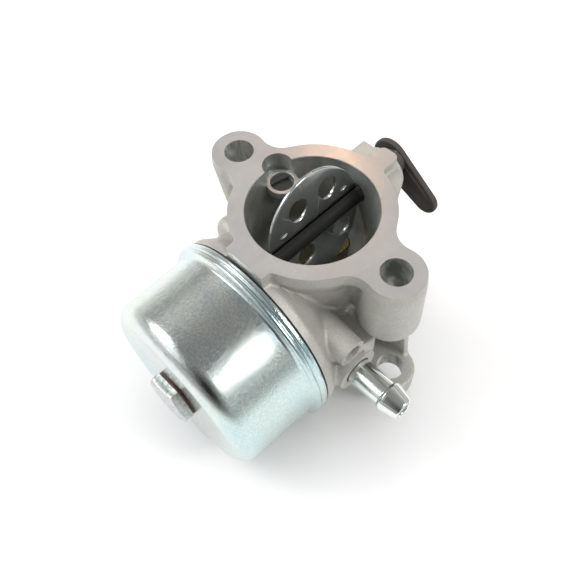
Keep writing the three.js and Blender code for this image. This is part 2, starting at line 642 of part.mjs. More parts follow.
// ---------------------------------------------------------------- bowl and float
// Outer face of the bowl from the rim to the floor, moved inwards by "inset" for the inner face.
function bowlSide(inset) {
  const points = [[BOWL_WALL_R - inset, -25.1]];
  const arcR = BOWL_CORNER_R - inset;
  const centreR = 23.8 - BOWL_CORNER_R;
  const centreY = BOWL_FLOOR_Y + BOWL_CORNER_R;
  for (let i = 0; i <= 4; i++) {
    const a = (i / 4) * (Math.PI / 2);
    points.push([centreR + arcR * Math.cos(a), centreY - arcR * Math.sin(a)]);
  }
  return points;
}

function floatBowl() {
  const rim = [
    [BOWL_RIM_R - 0.3, BOWL_RIM_Y], [BOWL_RIM_R, BOWL_RIM_Y - 0.3], [BOWL_RIM_R, BOWL_RIM_Y - 1.1],
    [BOWL_RIM_R - 0.4, BOWL_RIM_Y - 1.4], [BOWL_RIM_R - 0.3, BOWL_RIM_Y - 2.2], [BOWL_WALL_R + 0.4, -24.8],
  ];
  const hole = SCREW_SHANK_R + CLEAR + 0.2;
  const inside = bowlSide(BOWL_SHEET);
  const bottom = [[hole, BOWL_FLOOR_Y], [hole, BOWL_FLOOR_Y + BOWL_SHEET]];
  const lip = [[BOWL_WALL_R - BOWL_SHEET, BOWL_RIM_Y]];
  const profile = [...rim, ...bowlSide(0), ...bottom, ...inside.reverse(), ...lip, rim[0]];
  return turned("y", [0, BOWL_Z], profile, 40);
}

function bowlScrew() {
  const top = BOWL_FLOOR_Y - WASHER.thick - 2 * CLEAR;
  const hexR = SCREW_AF / 2 / Math.cos(Math.PI / 6);
  const hex = new THREE.CylinderGeometry(hexR, hexR, SCREW_HEAD, 6).rotateY(SCREW_TURN);
  const shank = rod("y", [0, BOWL_Z], top - 1, -38.3, SCREW_SHANK_R);
  const hollow = rod("y", [0, BOWL_Z], -44.5, -37, 1.9, 1.9, 20);
  const port = rod("x", [-42, BOWL_Z], -6, 6, 0.9, 0.9, 16);
  const rimmed = turned("y", [0, BOWL_Z], [
    [0, top - SCREW_HEAD], [6.1, top - SCREW_HEAD], [hexR + 0.2, top - SCREW_HEAD + 0.6],
    [hexR + 0.2, top], [0, top],
  ], 36);
  const hexHead = solid(hex.translate(0, top - SCREW_HEAD / 2, BOWL_Z)).intersect(rimmed);
  return cut(join([hexHead, shank]), [hollow, port]);
}

// Ring float with an arm that reaches the hinge pin and carries the needle.
function floatRing() {
  const ring = tube("y", [0, BOWL_Z], -37, -26, 8.3, 19.4, 36);
  const arm = block(11, HINGE_X, -26.4, -24.6, FUEL_Z - 3.6, FUEL_Z + 3.6);
  const barrel = rod("z", [HINGE_X, HINGE_Y], FUEL_Z - 4.2, FUEL_Z + 4.2, 1.7, 1.7, 24);
  const neck = block(HINGE_X - 1.6, HINGE_X + 0.6, -26.4, HINGE_Y, FUEL_Z - 3.6, FUEL_Z + 3.6);
  const pinR = HINGE_PIN_R + CLEAR;
  const pinHole = rod("z", [HINGE_X, HINGE_Y], FUEL_Z - 6, FUEL_Z + 6, pinR, pinR, 20);
  return cut(join([ring, arm, barrel, neck]), [pinHole]);
}

addPart("float_bowl", floatBowl(), ZINC);
const gasketY = LAND_Y - CLEAR - GASKET_THICK;
const bowlGasket = tube("y", [0, BOWL_Z], gasketY, gasketY + GASKET_THICK, 23.3, 25.2, 40);
addPart("bowl_gasket", bowlGasket, RUBBER);
addPart("bowl_screw", bowlScrew(), ZINC);
const washerY = BOWL_FLOOR_Y - CLEAR - WASHER.thick;
const screwWasher = tube("y", [0, BOWL_Z], washerY, washerY + WASHER.thick, WASHER.inner, WASHER.outer, 40);
addPart("bowl_screw_washer", screwWasher, FIBRE);
addPart("float", floatRing(), BLACK_PLASTIC);
const hingePin = rod("z", [HINGE_X, HINGE_Y], FUEL_Z - 6.8, FUEL_Z + 6.8, HINGE_PIN_R, HINGE_PIN_R, 20);
addPart("float_hinge_pin", hingePin, STEEL);

export default carburetor;
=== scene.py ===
"""A small-engine float-bowl carburetor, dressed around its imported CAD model.

Shapes are worked out in millimetres, in the CAD frame, and scaled to metres as each object is made.
"""

import math

import bpy
import numpy as np
from mathutils import Matrix, Vector

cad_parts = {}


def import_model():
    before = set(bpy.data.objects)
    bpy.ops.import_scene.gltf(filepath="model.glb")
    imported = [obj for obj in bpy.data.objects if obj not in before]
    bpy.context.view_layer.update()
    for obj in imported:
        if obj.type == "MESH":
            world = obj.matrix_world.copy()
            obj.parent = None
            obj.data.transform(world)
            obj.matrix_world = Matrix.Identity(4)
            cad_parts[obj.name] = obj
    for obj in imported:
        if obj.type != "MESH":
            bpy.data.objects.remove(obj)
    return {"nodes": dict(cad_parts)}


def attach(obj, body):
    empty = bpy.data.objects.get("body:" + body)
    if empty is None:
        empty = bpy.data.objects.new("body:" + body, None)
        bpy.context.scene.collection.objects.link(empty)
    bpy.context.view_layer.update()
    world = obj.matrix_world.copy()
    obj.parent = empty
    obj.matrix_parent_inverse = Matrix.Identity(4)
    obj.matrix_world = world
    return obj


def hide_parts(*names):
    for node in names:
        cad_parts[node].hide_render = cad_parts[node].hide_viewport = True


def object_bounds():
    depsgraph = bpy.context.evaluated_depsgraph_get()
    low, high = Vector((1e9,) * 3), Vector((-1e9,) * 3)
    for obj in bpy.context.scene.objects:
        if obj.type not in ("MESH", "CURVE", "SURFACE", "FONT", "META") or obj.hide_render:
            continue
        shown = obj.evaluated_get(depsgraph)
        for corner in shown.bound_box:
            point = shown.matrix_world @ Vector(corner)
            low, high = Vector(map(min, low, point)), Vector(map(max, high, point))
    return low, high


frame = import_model()
cad_low, cad_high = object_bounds()

MM = 0.001

# ------------------------------------------------------------------ sizes, in mm and radians
# a pair is where an axis lies: (y, z) for one along X, (x, z) along Y, (x, y) along Z
HEIGHT = 47.5
MOUTH_R = 15.3
CHOKE_BORE_R = 15.0
VENTURI_R = 10.2
THROTTLE_BORE_R = 9.5
CHOKE_Z = 40.0
BOWL_Z = 19.0
THROTTLE_Z = 7.4
STUD_HOLE_R = 3.55
AIR_FLANGE = dict(ring=19.2, ear=24.65, ear_r=6.6, blend=5.5)
ENGINE_FLANGE = dict(ring=15.5, ear=28.0, ear_r=6.5, blend=9.0)
AIR_THICK = 4.25
ENGINE_THICK = 5.7
LEFT_COLUMN = dict(side=-1, foot_z=30.5, foot_r=5.2, corner=1.3)
RIGHT_COLUMN = dict(side=1, foot_z=28.0, foot_r=7.5, corner=3.2)
LAND_Y = -20.9
LAND_R = 25.5
STEM_END_Y = -44.9
BOWL_RIM_Y = -21.3
BOWL_FLOOR_Y = -46.0
BOWL_CORNER_R = 4.5
BOWL_WALL = 0.75
HEX_ACROSS = 12.7
FUEL = (-11.8, 19.5)
FUEL_END_X = 26.4
FUEL_TIP_X = 40.8
PILOT = (-13.0, 28.8)
PILOT_END_X = 25.4
VENT = (-13.4, 3.1)
SCALLOP = (-14.8, 3.3)
SCALLOP_Z = 42.2
NEEDLE_X = 14.5
HINGE = (20.2, -23.6)
IDLE = (21.4, 14.4)
IDLE_POCKET = (0, 11)
NOZZLE = (0, 21.5)
CHOKE_LEAN = -0.19
CHOKE_SHAFT_R = 2.4
CHOKE_LEVER = dict(hub_r=5.15, tip_r=3.65, y0=29.1, y1=30.7)
THROTTLE_TILT = 0.14
THROTTLE_SHAFT_R = 2.1
THROTTLE_PLATE_R = 9.2
THROTTLE_LEVER = dict(hub_r=4.5, y0=25.0, y1=26.5)
PLATE_SCREW_Y = 3.6
TUBE_R = 3.4
TUBE_BORE_R = 2.1
SHAFT_GAP = 0.3
PRESS_GAP = 0.3
WIRE_SIDES = 16
FULL_TURN = 2 * math.pi


# ------------------------------------------------------------------ meshes
class Solid:
    """Points and faces of a closed shape, faces outward."""

    def __init__(self, points, faces):
        self.points = np.array(points, float).reshape(-1, 3)
        self.faces = [list(f) for f in faces]
        if self.volume() < 0:
            self.faces = [f[::-1] for f in self.faces]

    def volume(self):
        total = 0.0
        p = self.points
        for f in self.faces:
            for i in range(1, len(f) - 1):
                total += np.dot(p[f[0]], np.cross(p[f[i]], p[f[i + 1]]))
        return total


def on_axis(axis, centre, along, a, b):
    """A point at `along` on the axis, moved by a and b across it."""
    if axis == "x":
        return (along, centre[0] + a, centre[1] + b)
    if axis == "y":
        return (centre[0] + a, along, centre[1] + b)
    return (centre[0] + a, centre[1] + b, along)


def turned(axis, centre, profile, sides=64):
    """A solid of revolution of (radius, station) points, closed on its axis or on itself."""
    closed = profile[0] == profile[-1]
    stations = profile[:-1] if closed else profile
    points, rings, faces = [], [], []
    for r, s in stations:
        if r < 1e-6:
            rings.append([len(points)])
            points.append(on_axis(axis, centre, s, 0, 0))
            continue
        rings.append(list(range(len(points), len(points) + sides)))
        for k in range(sides):
            a = FULL_TURN * k / sides
            points.append(on_axis(axis, centre, s, r * math.cos(a), r * math.sin(a)))
    pairs = list(zip(rings, rings[1:]))
    if closed:
        pairs.append((rings[-1], rings[0]))
    for low, high in pairs:
        for k in range(sides):
            n = (k + 1) % sides
            if len(low) == 1:
                faces.append((low[0], high[n], high[k]))
            elif len(high) == 1:
                faces.append((low[k], low[n], high[0]))
            else:
                faces.append((low[k], low[n], high[n], high[k]))
    return Solid(points, faces)


def rod(axis, centre, start, end, r, end_r=None, sides=48):
    """A closed cylinder, or a cone where end_r is given."""
    end_r = r if end_r is None else end_r
    return turned(axis, centre, [(0, start), (r, start), (end_r, end), (0, end)], sides)


def block(x0, x1, y0, y1, z0, z1):
    outline = [(x0, y0), (x1, y0), (x1, y1), (x0, y1)]
    return prism(outline, z0, z1)


def prism(outline, z0, z1):
    """An outline in X and Y, raised from z0 to z1."""
    n = len(outline)
    points = [(x, y, z0) for x, y in outline] + [(x, y, z1) for x, y in outline]
    sides = [(i, (i + 1) % n, n + (i + 1) % n, n + i) for i in range(n)]
    return Solid(points, [tuple(range(n))[::-1], tuple(range(n, 2 * n))] + sides)


def prism_along_y(outline, y0, y1):
    """An outline in X and Z, drawn out from y0 to y1."""
    solid = prism(outline, y0, y1)
    x, z, y = solid.points.T
    return Solid(np.stack([x, y, z], 1), solid.faces)


def arc(cx, cy, r, a0, a1, steps):
    """Points on a circle, from angle a0 to a1."""
    return [(cx + r * math.cos(a), cy + r * math.sin(a)) for a in np.linspace(a0, a1, steps)]


def bar_outline(p0, r0, p1, r1, steps):
    """The outline that wraps a circle at each end, with straight sides between them."""
    dx, dy = p1[0] - p0[0], p1[1] - p0[1]
    heading = math.atan2(dy, dx)
    flare = math.acos((r0 - r1) / math.hypot(dx, dy))
    far = arc(*p1, r1, heading - flare, heading + flare, steps)
    near = arc(*p0, r0, heading + flare, heading - flare + FULL_TURN, steps)
    return far + near


def flange_outline(ring, ear, ear_r, blend):
    """A ring with an ear on each side, joined by concave arcs."""
    a, b = ring + blend, ear_r + blend
    bx = (a * a - b * b + ear * ear) / (2 * ear)
    by = math.sqrt(a * a - bx * bx)
    at_ring = math.atan2(by, bx)
    at_ear = math.atan2(by, bx - ear)
    quarter = arc(ear, 0, ear_r, 0, at_ear, 14)
    quarter += arc(bx, by, blend, at_ear + math.pi, at_ring + math.pi, 10)[1:]
    quarter += arc(0, 0, ring, at_ring, math.pi / 2, 18)[1:]
    half = quarter + [(-x, y) for x, y in quarter[-2::-1]]
    return half + [(x, -y) for x, y in half[-2:0:-1]]


def in_turned(p, angle):
    """Where (x, z) lies in a frame that is turned by `angle` about Y."""
    c, s = math.cos(angle), math.sin(angle)
    return (p[0] * c - p[1] * s, p[0] * s + p[1] * c)


def rounded(profile, r, steps=3):
    """A profile with its corners off the axis rounded to about r."""
    closed = profile[0] == profile[-1]
    points = [Vector(p) for p in (profile[:-1] if closed else profile)]
    n = len(points)
    out = []
    for i, p in enumerate(points):
        if p.x < 1e-6 or (not closed and i in (0, n - 1)):
            out.append((p.x, p.y))
            continue
        before, after = points[i - 1] - p, points[(i + 1) % n] - p
        reach = min(r, 0.45 * before.length, 0.45 * after.length)
        a, b = p + before.normalized() * reach, p + after.normalized() * reach
        for k in range(steps + 1):
            t = k / steps
            q = a * (1 - t) ** 2 + p * 2 * t * (1 - t) + b * t**2
            out.append((q.x, q.y))
    return out + [out[0]] if closed else out


def sweep(path, r):
    """A round wire of radius r along a path of points."""
    path = [Vector(p) for p in path]
    sides = WIRE_SIDES
    points, faces = [], []
    normal = None
    for i, p in enumerate(path):
        way = (path[min(i + 1, len(path) - 1)] - path[max(i - 1, 0)]).normalized()
        if normal is None:
            normal = way.orthogonal().normalized()
        normal = (normal - way * normal.dot(way)).normalized()
        across = way.cross(normal)
        for k in range(sides):
            a = FULL_TURN * k / sides
            points.append(p + (normal * math.cos(a) + across * math.sin(a)) * r)
    for i in range(len(path) - 1):
        for k in range(sides):
            n = (k + 1) % sides
            row, up = i * sides, (i + 1) * sides
            faces.append((row + k, row + n, up + n, up + k))
    last = (len(path) - 1) * sides
    faces.append(tuple(range(sides))[::-1])
    faces.append(tuple(range(last, last + sides)))
    return Solid(points, faces)


def helix(axis, centre, start, radius, pitch, turns):
    """The path of a spring's wire."""
    points = []
    count = int(40 * turns)
    for i in range(count + 1):
        done = turns * i / count
        a = FULL_TURN * done
        place = start + pitch * done
        points.append(on_axis(axis, centre, place, radius * math.cos(a), radius * math.sin(a)))
    return points


def make(name, *solids):
    """A Blender object, still in millimetres, holding these shapes side by side."""
    points = np.concatenate([s.points for s in solids])
    faces, start = [], 0
    for s in solids:
        faces += [[v + start for v in f] for f in s.faces]
        start += len(s.points)
    mesh = bpy.data.meshes.new(name)
    mesh.from_pydata(points.tolist(), [], faces)
    mesh.update()
    obj = bpy.data.objects.new(name, mesh)
    bpy.context.scene.collection.objects.link(obj)
    return obj


def apply(obj):
    """Turns an object's modifiers into its mesh."""
    depsgraph = bpy.context.evaluated_depsgraph_get()
    mesh = bpy.data.meshes.new_from_object(obj.evaluated_get(depsgraph))
    obj.modifiers.clear()
    old, obj.data = obj.data, mesh
    bpy.data.meshes.remove(old)
    mesh.name = obj.name


def fuse(obj, voxel, smooth):
    """Merges an object's overlapping shapes into one skin with soft corners, as a casting has."""
    remesh = obj.modifiers.new("Remesh", "REMESH")
    remesh.mode = "VOXEL"
    remesh.voxel_size = voxel
    soften = obj.modifiers.new("Smooth", "SMOOTH")
    soften.factor = 0.5
    soften.iterations = smooth
    apply(obj)


def carve(obj, tools, operation="DIFFERENCE"):
    """Cuts, joins or keeps what lies in crisp shapes, one after another."""
    for solid in tools:
        tool = make("tool", solid)
        boolean = obj.modifiers.new("Boolean", "BOOLEAN")
        boolean.operation = operation
        boolean.solver = "MANIFOLD"
        boolean.object = tool
        apply(obj)
        bpy.data.meshes.remove(tool.data)  # the tool object goes with its mesh


def bevel(obj, width, segments, angle):
    """Rounds every edge sharper than `angle` degrees."""
    mod = obj.modifiers.new("Bevel", "BEVEL")
    mod.width = width
    mod.segments = segments
    mod.limit_method = "ANGLE"
    mod.angle_limit = math.radians(angle)
    apply(obj)


def swing(obj, height, angle):
    """Turns a part about Y by `angle`, and lifts it to `height`."""
    obj.data.transform(Matrix.Translation((0, 0, height)) @ Matrix.Rotation(angle, 4, "Y"))


def finish_piece(obj, body, materials, node, crease=35):
    """Scales a piece to metres, shades it, and hands it to its CAD body in place of `node`."""
    obj.data.transform(Matrix.Scale(MM, 4))
    obj.data.materials.clear()
    for material in materials:
        obj.data.materials.append(material)
    obj.data.shade_smooth()
    obj.data.set_sharp_from_angle(angle=math.radians(crease))
    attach(obj, body)
    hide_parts(node)


# ------------------------------------------------------------------ materials
class Tree:
    """Short names for building a node tree on one set of coordinates."""

    def __init__(self, tree, coordinates):
        self.tree = tree
        self.place = self.add("ShaderNodeTexCoord").outputs[coordinates]

    def add(self, kind, **settings):
        node = self.tree.nodes.new(kind)
        for key, value in settings.items():
            setattr(node, key, value)
        return node

    def link(self, a, b):
        self.tree.links.new(a, b)

    def stretched(self, scale, turn=(0, 0, 0)):
        node = self.add("ShaderNodeMapping")
        node.inputs["Scale"].default_value = scale
        node.inputs["Rotation"].default_value = turn
        self.link(self.place, node.inputs["Vector"])
        return node.outputs["Vector"]

    def noise(self, scale, detail, rough, place=None, distortion=0.0):
        node = self.add("ShaderNodeTexNoise")
        node.inputs["Scale"].default_value = scale
        node.inputs["Detail"].default_value = detail
        node.inputs["Roughness"].default_value = rough
        node.inputs["Distortion"].default_value = distortion
        self.link(self.place if place is None else place, node.inputs["Vector"])
        return node.outputs["Fac"]

    def ramp(self, value, stops):
        """Colours or greys by value; stops are (position, colour or grey)."""
        node = self.add("ShaderNodeValToRGB")
        band = node.color_ramp
        while len(band.elements) < len(stops):
            band.elements.new(0.5)
        for element, (at, color) in zip(band.elements, stops):
            element.position = at
            grey = isinstance(color, (int, float))
            element.color = (color, color, color, 1) if grey else (*color, 1)
        self.link(value, node.inputs["Fac"])
        return node.outputs["Color"]

    def spread(self, value, low, high, out_low, out_high):
        """`low`..`high` mapped to `out_low`..`out_high`, and held there beyond them."""
        node = self.add("ShaderNodeMapRange")
        limits = {"From Min": low, "From Max": high, "To Min": out_low, "To Max": out_high}
        for key, number in limits.items():
            node.inputs[key].default_value = number
        self.link(value, node.inputs["Value"])
        return node.outputs["Result"]

    def math(self, operation, a, b=None):
        node = self.add("ShaderNodeMath", operation=operation)
        for socket, value in zip(node.inputs, (a, b)):
            if value is None:
                continue
            if isinstance(value, (int, float)):
                socket.default_value = value
            else:
                self.link(value, socket)
        return node.outputs["Value"]

    def mix(self, factor, a, b, blend="MIX"):
        node = self.add("ShaderNodeMix", data_type="RGBA", blend_type=blend)
        for socket, value in zip((node.inputs[0], node.inputs[6], node.inputs[7]), (factor, a, b)):
            if isinstance(value, (int, float)):
                socket.default_value = value
            elif isinstance(value, tuple):
                socket.default_value = (*value, 1)
            else:
                self.link(value, socket)
        return node.outputs[2]

    def bump(self, height, strength, distance, under=None):
        node = self.add("ShaderNodeBump")
        node.inputs["Strength"].default_value = strength
        node.inputs["Distance"].default_value = distance
        self.link(height, node.inputs["Height"])
        if under is not None:
            self.link(under, node.inputs["Normal"])
        return node.outputs["Normal"]

    def position(self):
        node = self.add("ShaderNodeSeparateXYZ")
        self.link(self.place, node.inputs[0])
        return node.outputs


class Nodes(Tree):
    """One material, on its object's own coordinates in metres."""

    def __init__(self, name, color, metallic, roughness, **sockets):
        self.material = bpy.data.materials.new(name)
        self.material.use_nodes = True
        super().__init__(self.material.node_tree, "Object")
        self.shader = self.tree.nodes["Principled BSDF"]
        self.shader.inputs["Base Color"].default_value = (*color, 1)
        self.shader.inputs["Metallic"].default_value = metallic
        self.shader.inputs["Roughness"].default_value = roughness
        for socket, value in sockets.items():
            self.shader.inputs[socket.replace("_", " ")].default_value = value

    def edges(self, low, high):
        """1 on sharp outside edges, 0 elsewhere."""
        point = self.add("ShaderNodeNewGeometry").outputs["Pointiness"]
        return self.spread(point, low, high, 0.0, 1.0)

    def use(self, color, roughness=None, normal=None):
        for socket, value in (("Base Color", color), ("Roughness", roughness), ("Normal", normal)):
            if value is not None:
                self.link(value, self.shader.inputs[socket])
        return self.material


def cast_metal():
    """The cast skin: light grey and grained, with a painted highlight on its sharp edges."""
    n = Nodes("cast_metal", (0.5, 0.48, 0.45), 0.45, 0.5)
    grain = n.noise(3200, 3, 0.6)
    coarse = n.noise(800, 4, 0.6)
    patches = n.noise(70, 3, 0.55)
    color = n.ramp(patches, [(0.3, (0.43, 0.42, 0.385)), (0.7, (0.52, 0.51, 0.475))])
    speck = n.ramp(grain, [(0.40, (0.80, 0.80, 0.80)), (0.62, (1.12, 1.12, 1.11))])
    color = n.mix(0.6, color, speck, "MULTIPLY")
    # painted highlight: sharp edges made paler, where light would glint on them
    color = n.mix(n.edges(0.62, 0.75), color, (0.66, 0.65, 0.62))
    rough = n.spread(coarse, 0.35, 0.7, 0.42, 0.6)
    normal = n.bump(coarse, 0.22, 0.0002)
    normal = n.bump(grain, 0.35, 0.0001, normal)
    return n.use(color, rough, normal)


# the cutter's centre lies at (-CUTTER_X, -CUTTER_Y) metres; its marks are in radians per metre
CUTTER_X, CUTTER_Y, CUTTER_MARKS = 0.055, 0.03, 9000.0
BORE_MARKS = 14000.0


def milled_face():
    """The flange faces: fly-cut, with faint arcs and a few nicks."""
    n = Nodes("milled_face", (0.66, 0.62, 0.60), 0.85, 0.42)
    place = n.position()
    across = n.math("POWER", n.math("ADD", place["X"], CUTTER_X), 2.0)
    along = n.math("POWER", n.math("ADD", place["Y"], CUTTER_Y), 2.0)
    radius = n.math("SQRT", n.math("ADD", across, along))
    arcs = n.math("SINE", n.math("MULTIPLY", radius, CUTTER_MARKS))
    broken = n.math("MULTIPLY", arcs, n.noise(300, 3, 0.6))
    patches = n.noise(110, 4, 0.6)
    color = n.ramp(patches, [(0.3, (0.60, 0.588, 0.575)), (0.7, (0.70, 0.685, 0.67))])
    scratches = n.noise(900, 2, 0.5, n.stretched((1, 0.25, 1), (0, 0, 0.7)))
    nicks = n.ramp(scratches, [(0.70, 0.0), (0.76, 1.0)])
    color = n.mix(n.math("MULTIPLY", nicks, 0.35), color, (0.86, 0.84, 0.82))
    rough = n.spread(n.noise(500, 4, 0.6), 0.3, 0.7, 0.34, 0.5)
    normal = n.bump(broken, 0.12, 0.00005)
    normal = n.bump(n.noise(3500, 2, 0.5), 0.12, 0.00005, normal)
    return n.use(color, rough, normal)


def bored_metal(name, dark, light):
    """Machined bores: darker than the skin, with fine rings and wavy smears."""
    n = Nodes(name, light, 0.6, 0.33)
    rings = n.math("SINE", n.math("MULTIPLY", n.position()["Z"], BORE_MARKS))
    smears = n.noise(210, 3, 0.55, n.stretched((1, 1, 0.35), (0.5, 0.3, 0)), distortion=1.2)
    color = n.ramp(smears, [(0.38, dark), (0.62, light)])
    rough = n.spread(n.noise(420, 3, 0.5), 0.3, 0.7, 0.28, 0.46)
    normal = n.bump(rings, 0.06, 0.00004)
    normal = n.bump(n.noise(240, 2, 0.5), 0.3, 0.0004, normal)
    return n.use(color, rough, normal)


def bright_zinc(name, base, tint, rough_low, rough_high, pebble=0.2, speckle=0.0, blue=0.0):
    """Bright zinc plate: mirror-like, pebbled, with a faint wandering tint and a painted shade that
    makes its +X side darker and bluer.
    """
    n = Nodes(name, (0.8, 0.83, 0.84), 1.0, rough_low)
    tints = [(0.34, (0.56, 0.74, 0.78)), (0.46, (0.72, 0.79, 0.78))]
    tints += [(0.56, (0.76, 0.80, 0.73)), (0.68, (0.69, 0.73, 0.72))]
    color = n.mix(tint, base, n.ramp(n.noise(38, 2, 0.5, distortion=0.6), tints))
    dots = n.ramp(n.noise(1900, 2, 0.8), [(0.38, (0.55, 0.57, 0.57)), (0.62, (1.15, 1.15, 1.15))])
    color = n.mix(speckle, color, dots, "MULTIPLY")
    # painted shade: the +X side made darker and bluer, standing in for a dimmer reflection of the
    # floor
    side = n.spread(n.position()["X"], 0.010, 0.022, 0.0, blue)
    color = n.mix(side, color, (0.76, 0.87, 0.90), "MULTIPLY")
    frost = n.noise(900, 4, 0.7)
    rough = n.spread(frost, 0.35, 0.7, rough_low, rough_high)
    fine = n.noise(3000, 3, 0.7)
    slow = n.noise(190, 2, 0.5)
    normal = n.bump(slow, 0.06, 0.0004)
    normal = n.bump(fine, pebble, 0.00006, normal)
    return n.use(color, rough, normal)


SHEAR_LINES = 130.0  # round the hex


def hex_zinc():
    """The cold-formed hex: fine shear lines run along the screw."""
    n = Nodes("hex_zinc", (0.72, 0.74, 0.74), 1.0, 0.25)
    place = n.position()
    around = n.math("ARCTAN2", n.math("SUBTRACT", place["Z"], BOWL_Z * MM), place["X"])
    lines = n.math("SINE", n.math("MULTIPLY", around, SHEAR_LINES))
    ragged = n.math("MULTIPLY", lines, n.noise(1200, 3, 0.6, n.stretched((1, 0.2, 1))))
    greys = [(0.3, (0.40, 0.42, 0.41)), (0.6, (0.70, 0.73, 0.72))]
    color = n.ramp(n.spread(ragged, -0.7, 0.7, 0, 1), greys)
    rough = n.spread(n.noise(1500, 2, 0.5), 0.3, 0.7, 0.18, 0.36)
    return n.use(color, rough, n.bump(ragged, 0.3, 0.00008))


def plate_steel():
    """The choke plate: rolled sheet with a painted highlight on its rim."""
    n = Nodes("plate_steel", (0.56, 0.57, 0.58), 1.0, 0.16)
    rolled = n.noise(900, 3, 0.6, n.stretched((1, 0.06, 1)))
    smear = n.noise(120, 3, 0.6)
    color = n.ramp(smear, [(0.3, (0.42, 0.44, 0.46)), (0.7, (0.62, 0.63, 0.63))])
    # painted highlight: a near-white rim where light glints on the plate's edge
    color = n.mix(n.edges(0.56, 0.62), color, (0.92, 0.93, 0.92))
    rough = n.spread(rolled, 0.3, 0.7, 0.12, 0.27)
    return n.use(color, rough, n.bump(rolled, 0.08, 0.00005))


def bar_steel(name, color, rough_low, rough_high):
    """Turned or drawn steel, a little stained."""
    n = Nodes(name, color, 1.0, rough_low)
    turned_marks = n.noise(1400, 3, 0.6, n.stretched((1, 4, 1)))
    stain = n.noise(260, 4, 0.6)
    dark = tuple(0.72 * c for c in color)
    shade = n.ramp(stain, [(0.32, dark), (0.66, color)])
    rough = n.spread(stain, 0.3, 0.7, rough_low, rough_high)
    return n.use(shade, rough, n.bump(turned_marks, 0.1, 0.00005))


def black_nylon():
    """The moulded choke shaft: grey on the lever, darkened to black in the bore (y below 15 mm) by
    painted shade.
    """
    n = Nodes("black_nylon", (0.05, 0.046, 0.042), 0.0, 0.42, Specular_IOR_Level=0.08)
    skin = n.noise(1500, 3, 0.6)
    cloud = n.noise(90, 4, 0.6)
    color = n.ramp(cloud, [(0.3, (0.040, 0.036, 0.033)), (0.7, (0.066, 0.059, 0.054))])
    color = n.mix(n.edges(0.51, 0.58), color, (0.14, 0.13, 0.12))
    # painted shade: the shaft goes near-black where it lies inside the bore
    bore_shade = n.spread(n.position()["Y"], 0.0135, 0.0165, 1.0, 0.0)
    color = n.mix(bore_shade, color, (0.020, 0.020, 0.018))
    rough = n.spread(n.noise(420, 4, 0.65), 0.3, 0.7, 0.40, 0.58)
    return n.use(color, rough, n.bump(skin, 0.16, 0.00012))


def brass():
    """Turned brass, browner and rougher where it is stained."""
    n = Nodes("brass", (0.72, 0.50, 0.22), 1.0, 0.25)
    stain = n.noise(300, 4, 0.6)
    color = n.ramp(stain, [(0.3, (0.46, 0.30, 0.12)), (0.7, (0.80, 0.58, 0.27))])
    color = n.mix(n.edges(0.52, 0.6), color, (0.92, 0.75, 0.45))
    rough = n.spread(stain, 0.3, 0.7, 0.34, 0.2)
    lines = n.noise(1500, 2, 0.5, n.stretched((1, 5, 1)))
    return n.use(color, rough, n.bump(lines, 0.12, 0.00005))


def soft_stuff(name, dark, light, scale, rough, bump):
    """Felt, rubber, fibre board and float foam: matte, with a fine tooth."""
    n = Nodes(name, light, 0.0, rough)
    tooth = n.noise(scale, 4, 0.7)
    cloud = n.noise(scale / 9, 3, 0.6)
    color = n.ramp(n.mix(0.5, tooth, cloud), [(0.36, dark), (0.64, light)])
    return n.use(color, n.spread(cloud, 0.3, 0.7, rough - 0.12, rough), n.bump(tooth, bump, 0.0002))


CAST = cast_metal()
MILLED = milled_face()
BORED = bored_metal("bored_metal", (0.38, 0.40, 0.37), (0.49, 0.50, 0.47))
DRILLED = bored_metal("drilled_metal", (0.24, 0.25, 0.23), (0.74, 0.75, 0.72))
# blue sets the strength of the painted shade on the bowl's +X side
BOWL_ZINC = bright_zinc(
    "bowl_zinc", (0.67, 0.755, 0.775), 0.85, 0.06, 0.17, pebble=0.8, speckle=0.3, blue=0.85
)
TUBE_ZINC = bright_zinc("tube_zinc", (0.76, 0.79, 0.765), 0.1, 0.08, 0.2, pebble=0.1)
LEVER_ZINC = bright_zinc("lever_zinc", (0.62, 0.66, 0.66), 0.4, 0.14, 0.32)
HEX_ZINC = hex_zinc()
PLATE = plate_steel()
# near-black painted shade for the inside of the vent cup
VENT_SHADE = soft_stuff("vent_shade_metal", (0.025, 0.027, 0.024), (0.06, 0.062, 0.056), 1400, 0.55, 0.4)
SHAFT_STEEL = bar_steel("shaft_steel", (0.60, 0.60, 0.59), 0.2, 0.36)
SPRING_STEEL = bar_steel("spring_steel", (0.44, 0.44, 0.43), 0.22, 0.4)
JET_STEEL = bar_steel("jet_steel", (0.40, 0.39, 0.37), 0.3, 0.48)
NYLON = black_nylon()
BRASS = brass()
FELT = soft_stuff("felt", (0.05, 0.047, 0.043), (0.13, 0.12, 0.11), 3500, 0.95, 0.7)
RUBBER = soft_stuff("rubber", (0.012, 0.012, 0.012), (0.03, 0.03, 0.03), 1800, 0.6, 0.25)
FIBRE = soft_stuff("fibre", (0.12, 0.05, 0.045), (0.22, 0.10, 0.085), 2200, 0.8, 0.3)
FLOAT_SKIN = soft_stuff("float_skin", (0.03, 0.03, 0.03), (0.075, 0.073, 0.07), 1500, 0.6, 0.25)


# ------------------------------------------------------------------ body casting
def column(side, foot_z, foot_r, corner):
    """Post under an air flange ear, with a rounded foot and a web to the throat."""
    x = side * AIR_FLANGE["ear"]
    foot = [(0, foot_z), (foot_r, foot_z), (6.9, HEIGHT - 2), (6.6, HEIGHT - 1), (0, HEIGHT - 1)]
    inner = side * 12
    web = block(min(inner, x), max(inner, x), -4.6, 4.6, foot_z + 2.5, HEIGHT - 2)
    return [turned("z", (x, 0), rounded(foot, corner, 6)), web]


PROUD = 1.2  # how far the casting stands past a face that is cut later


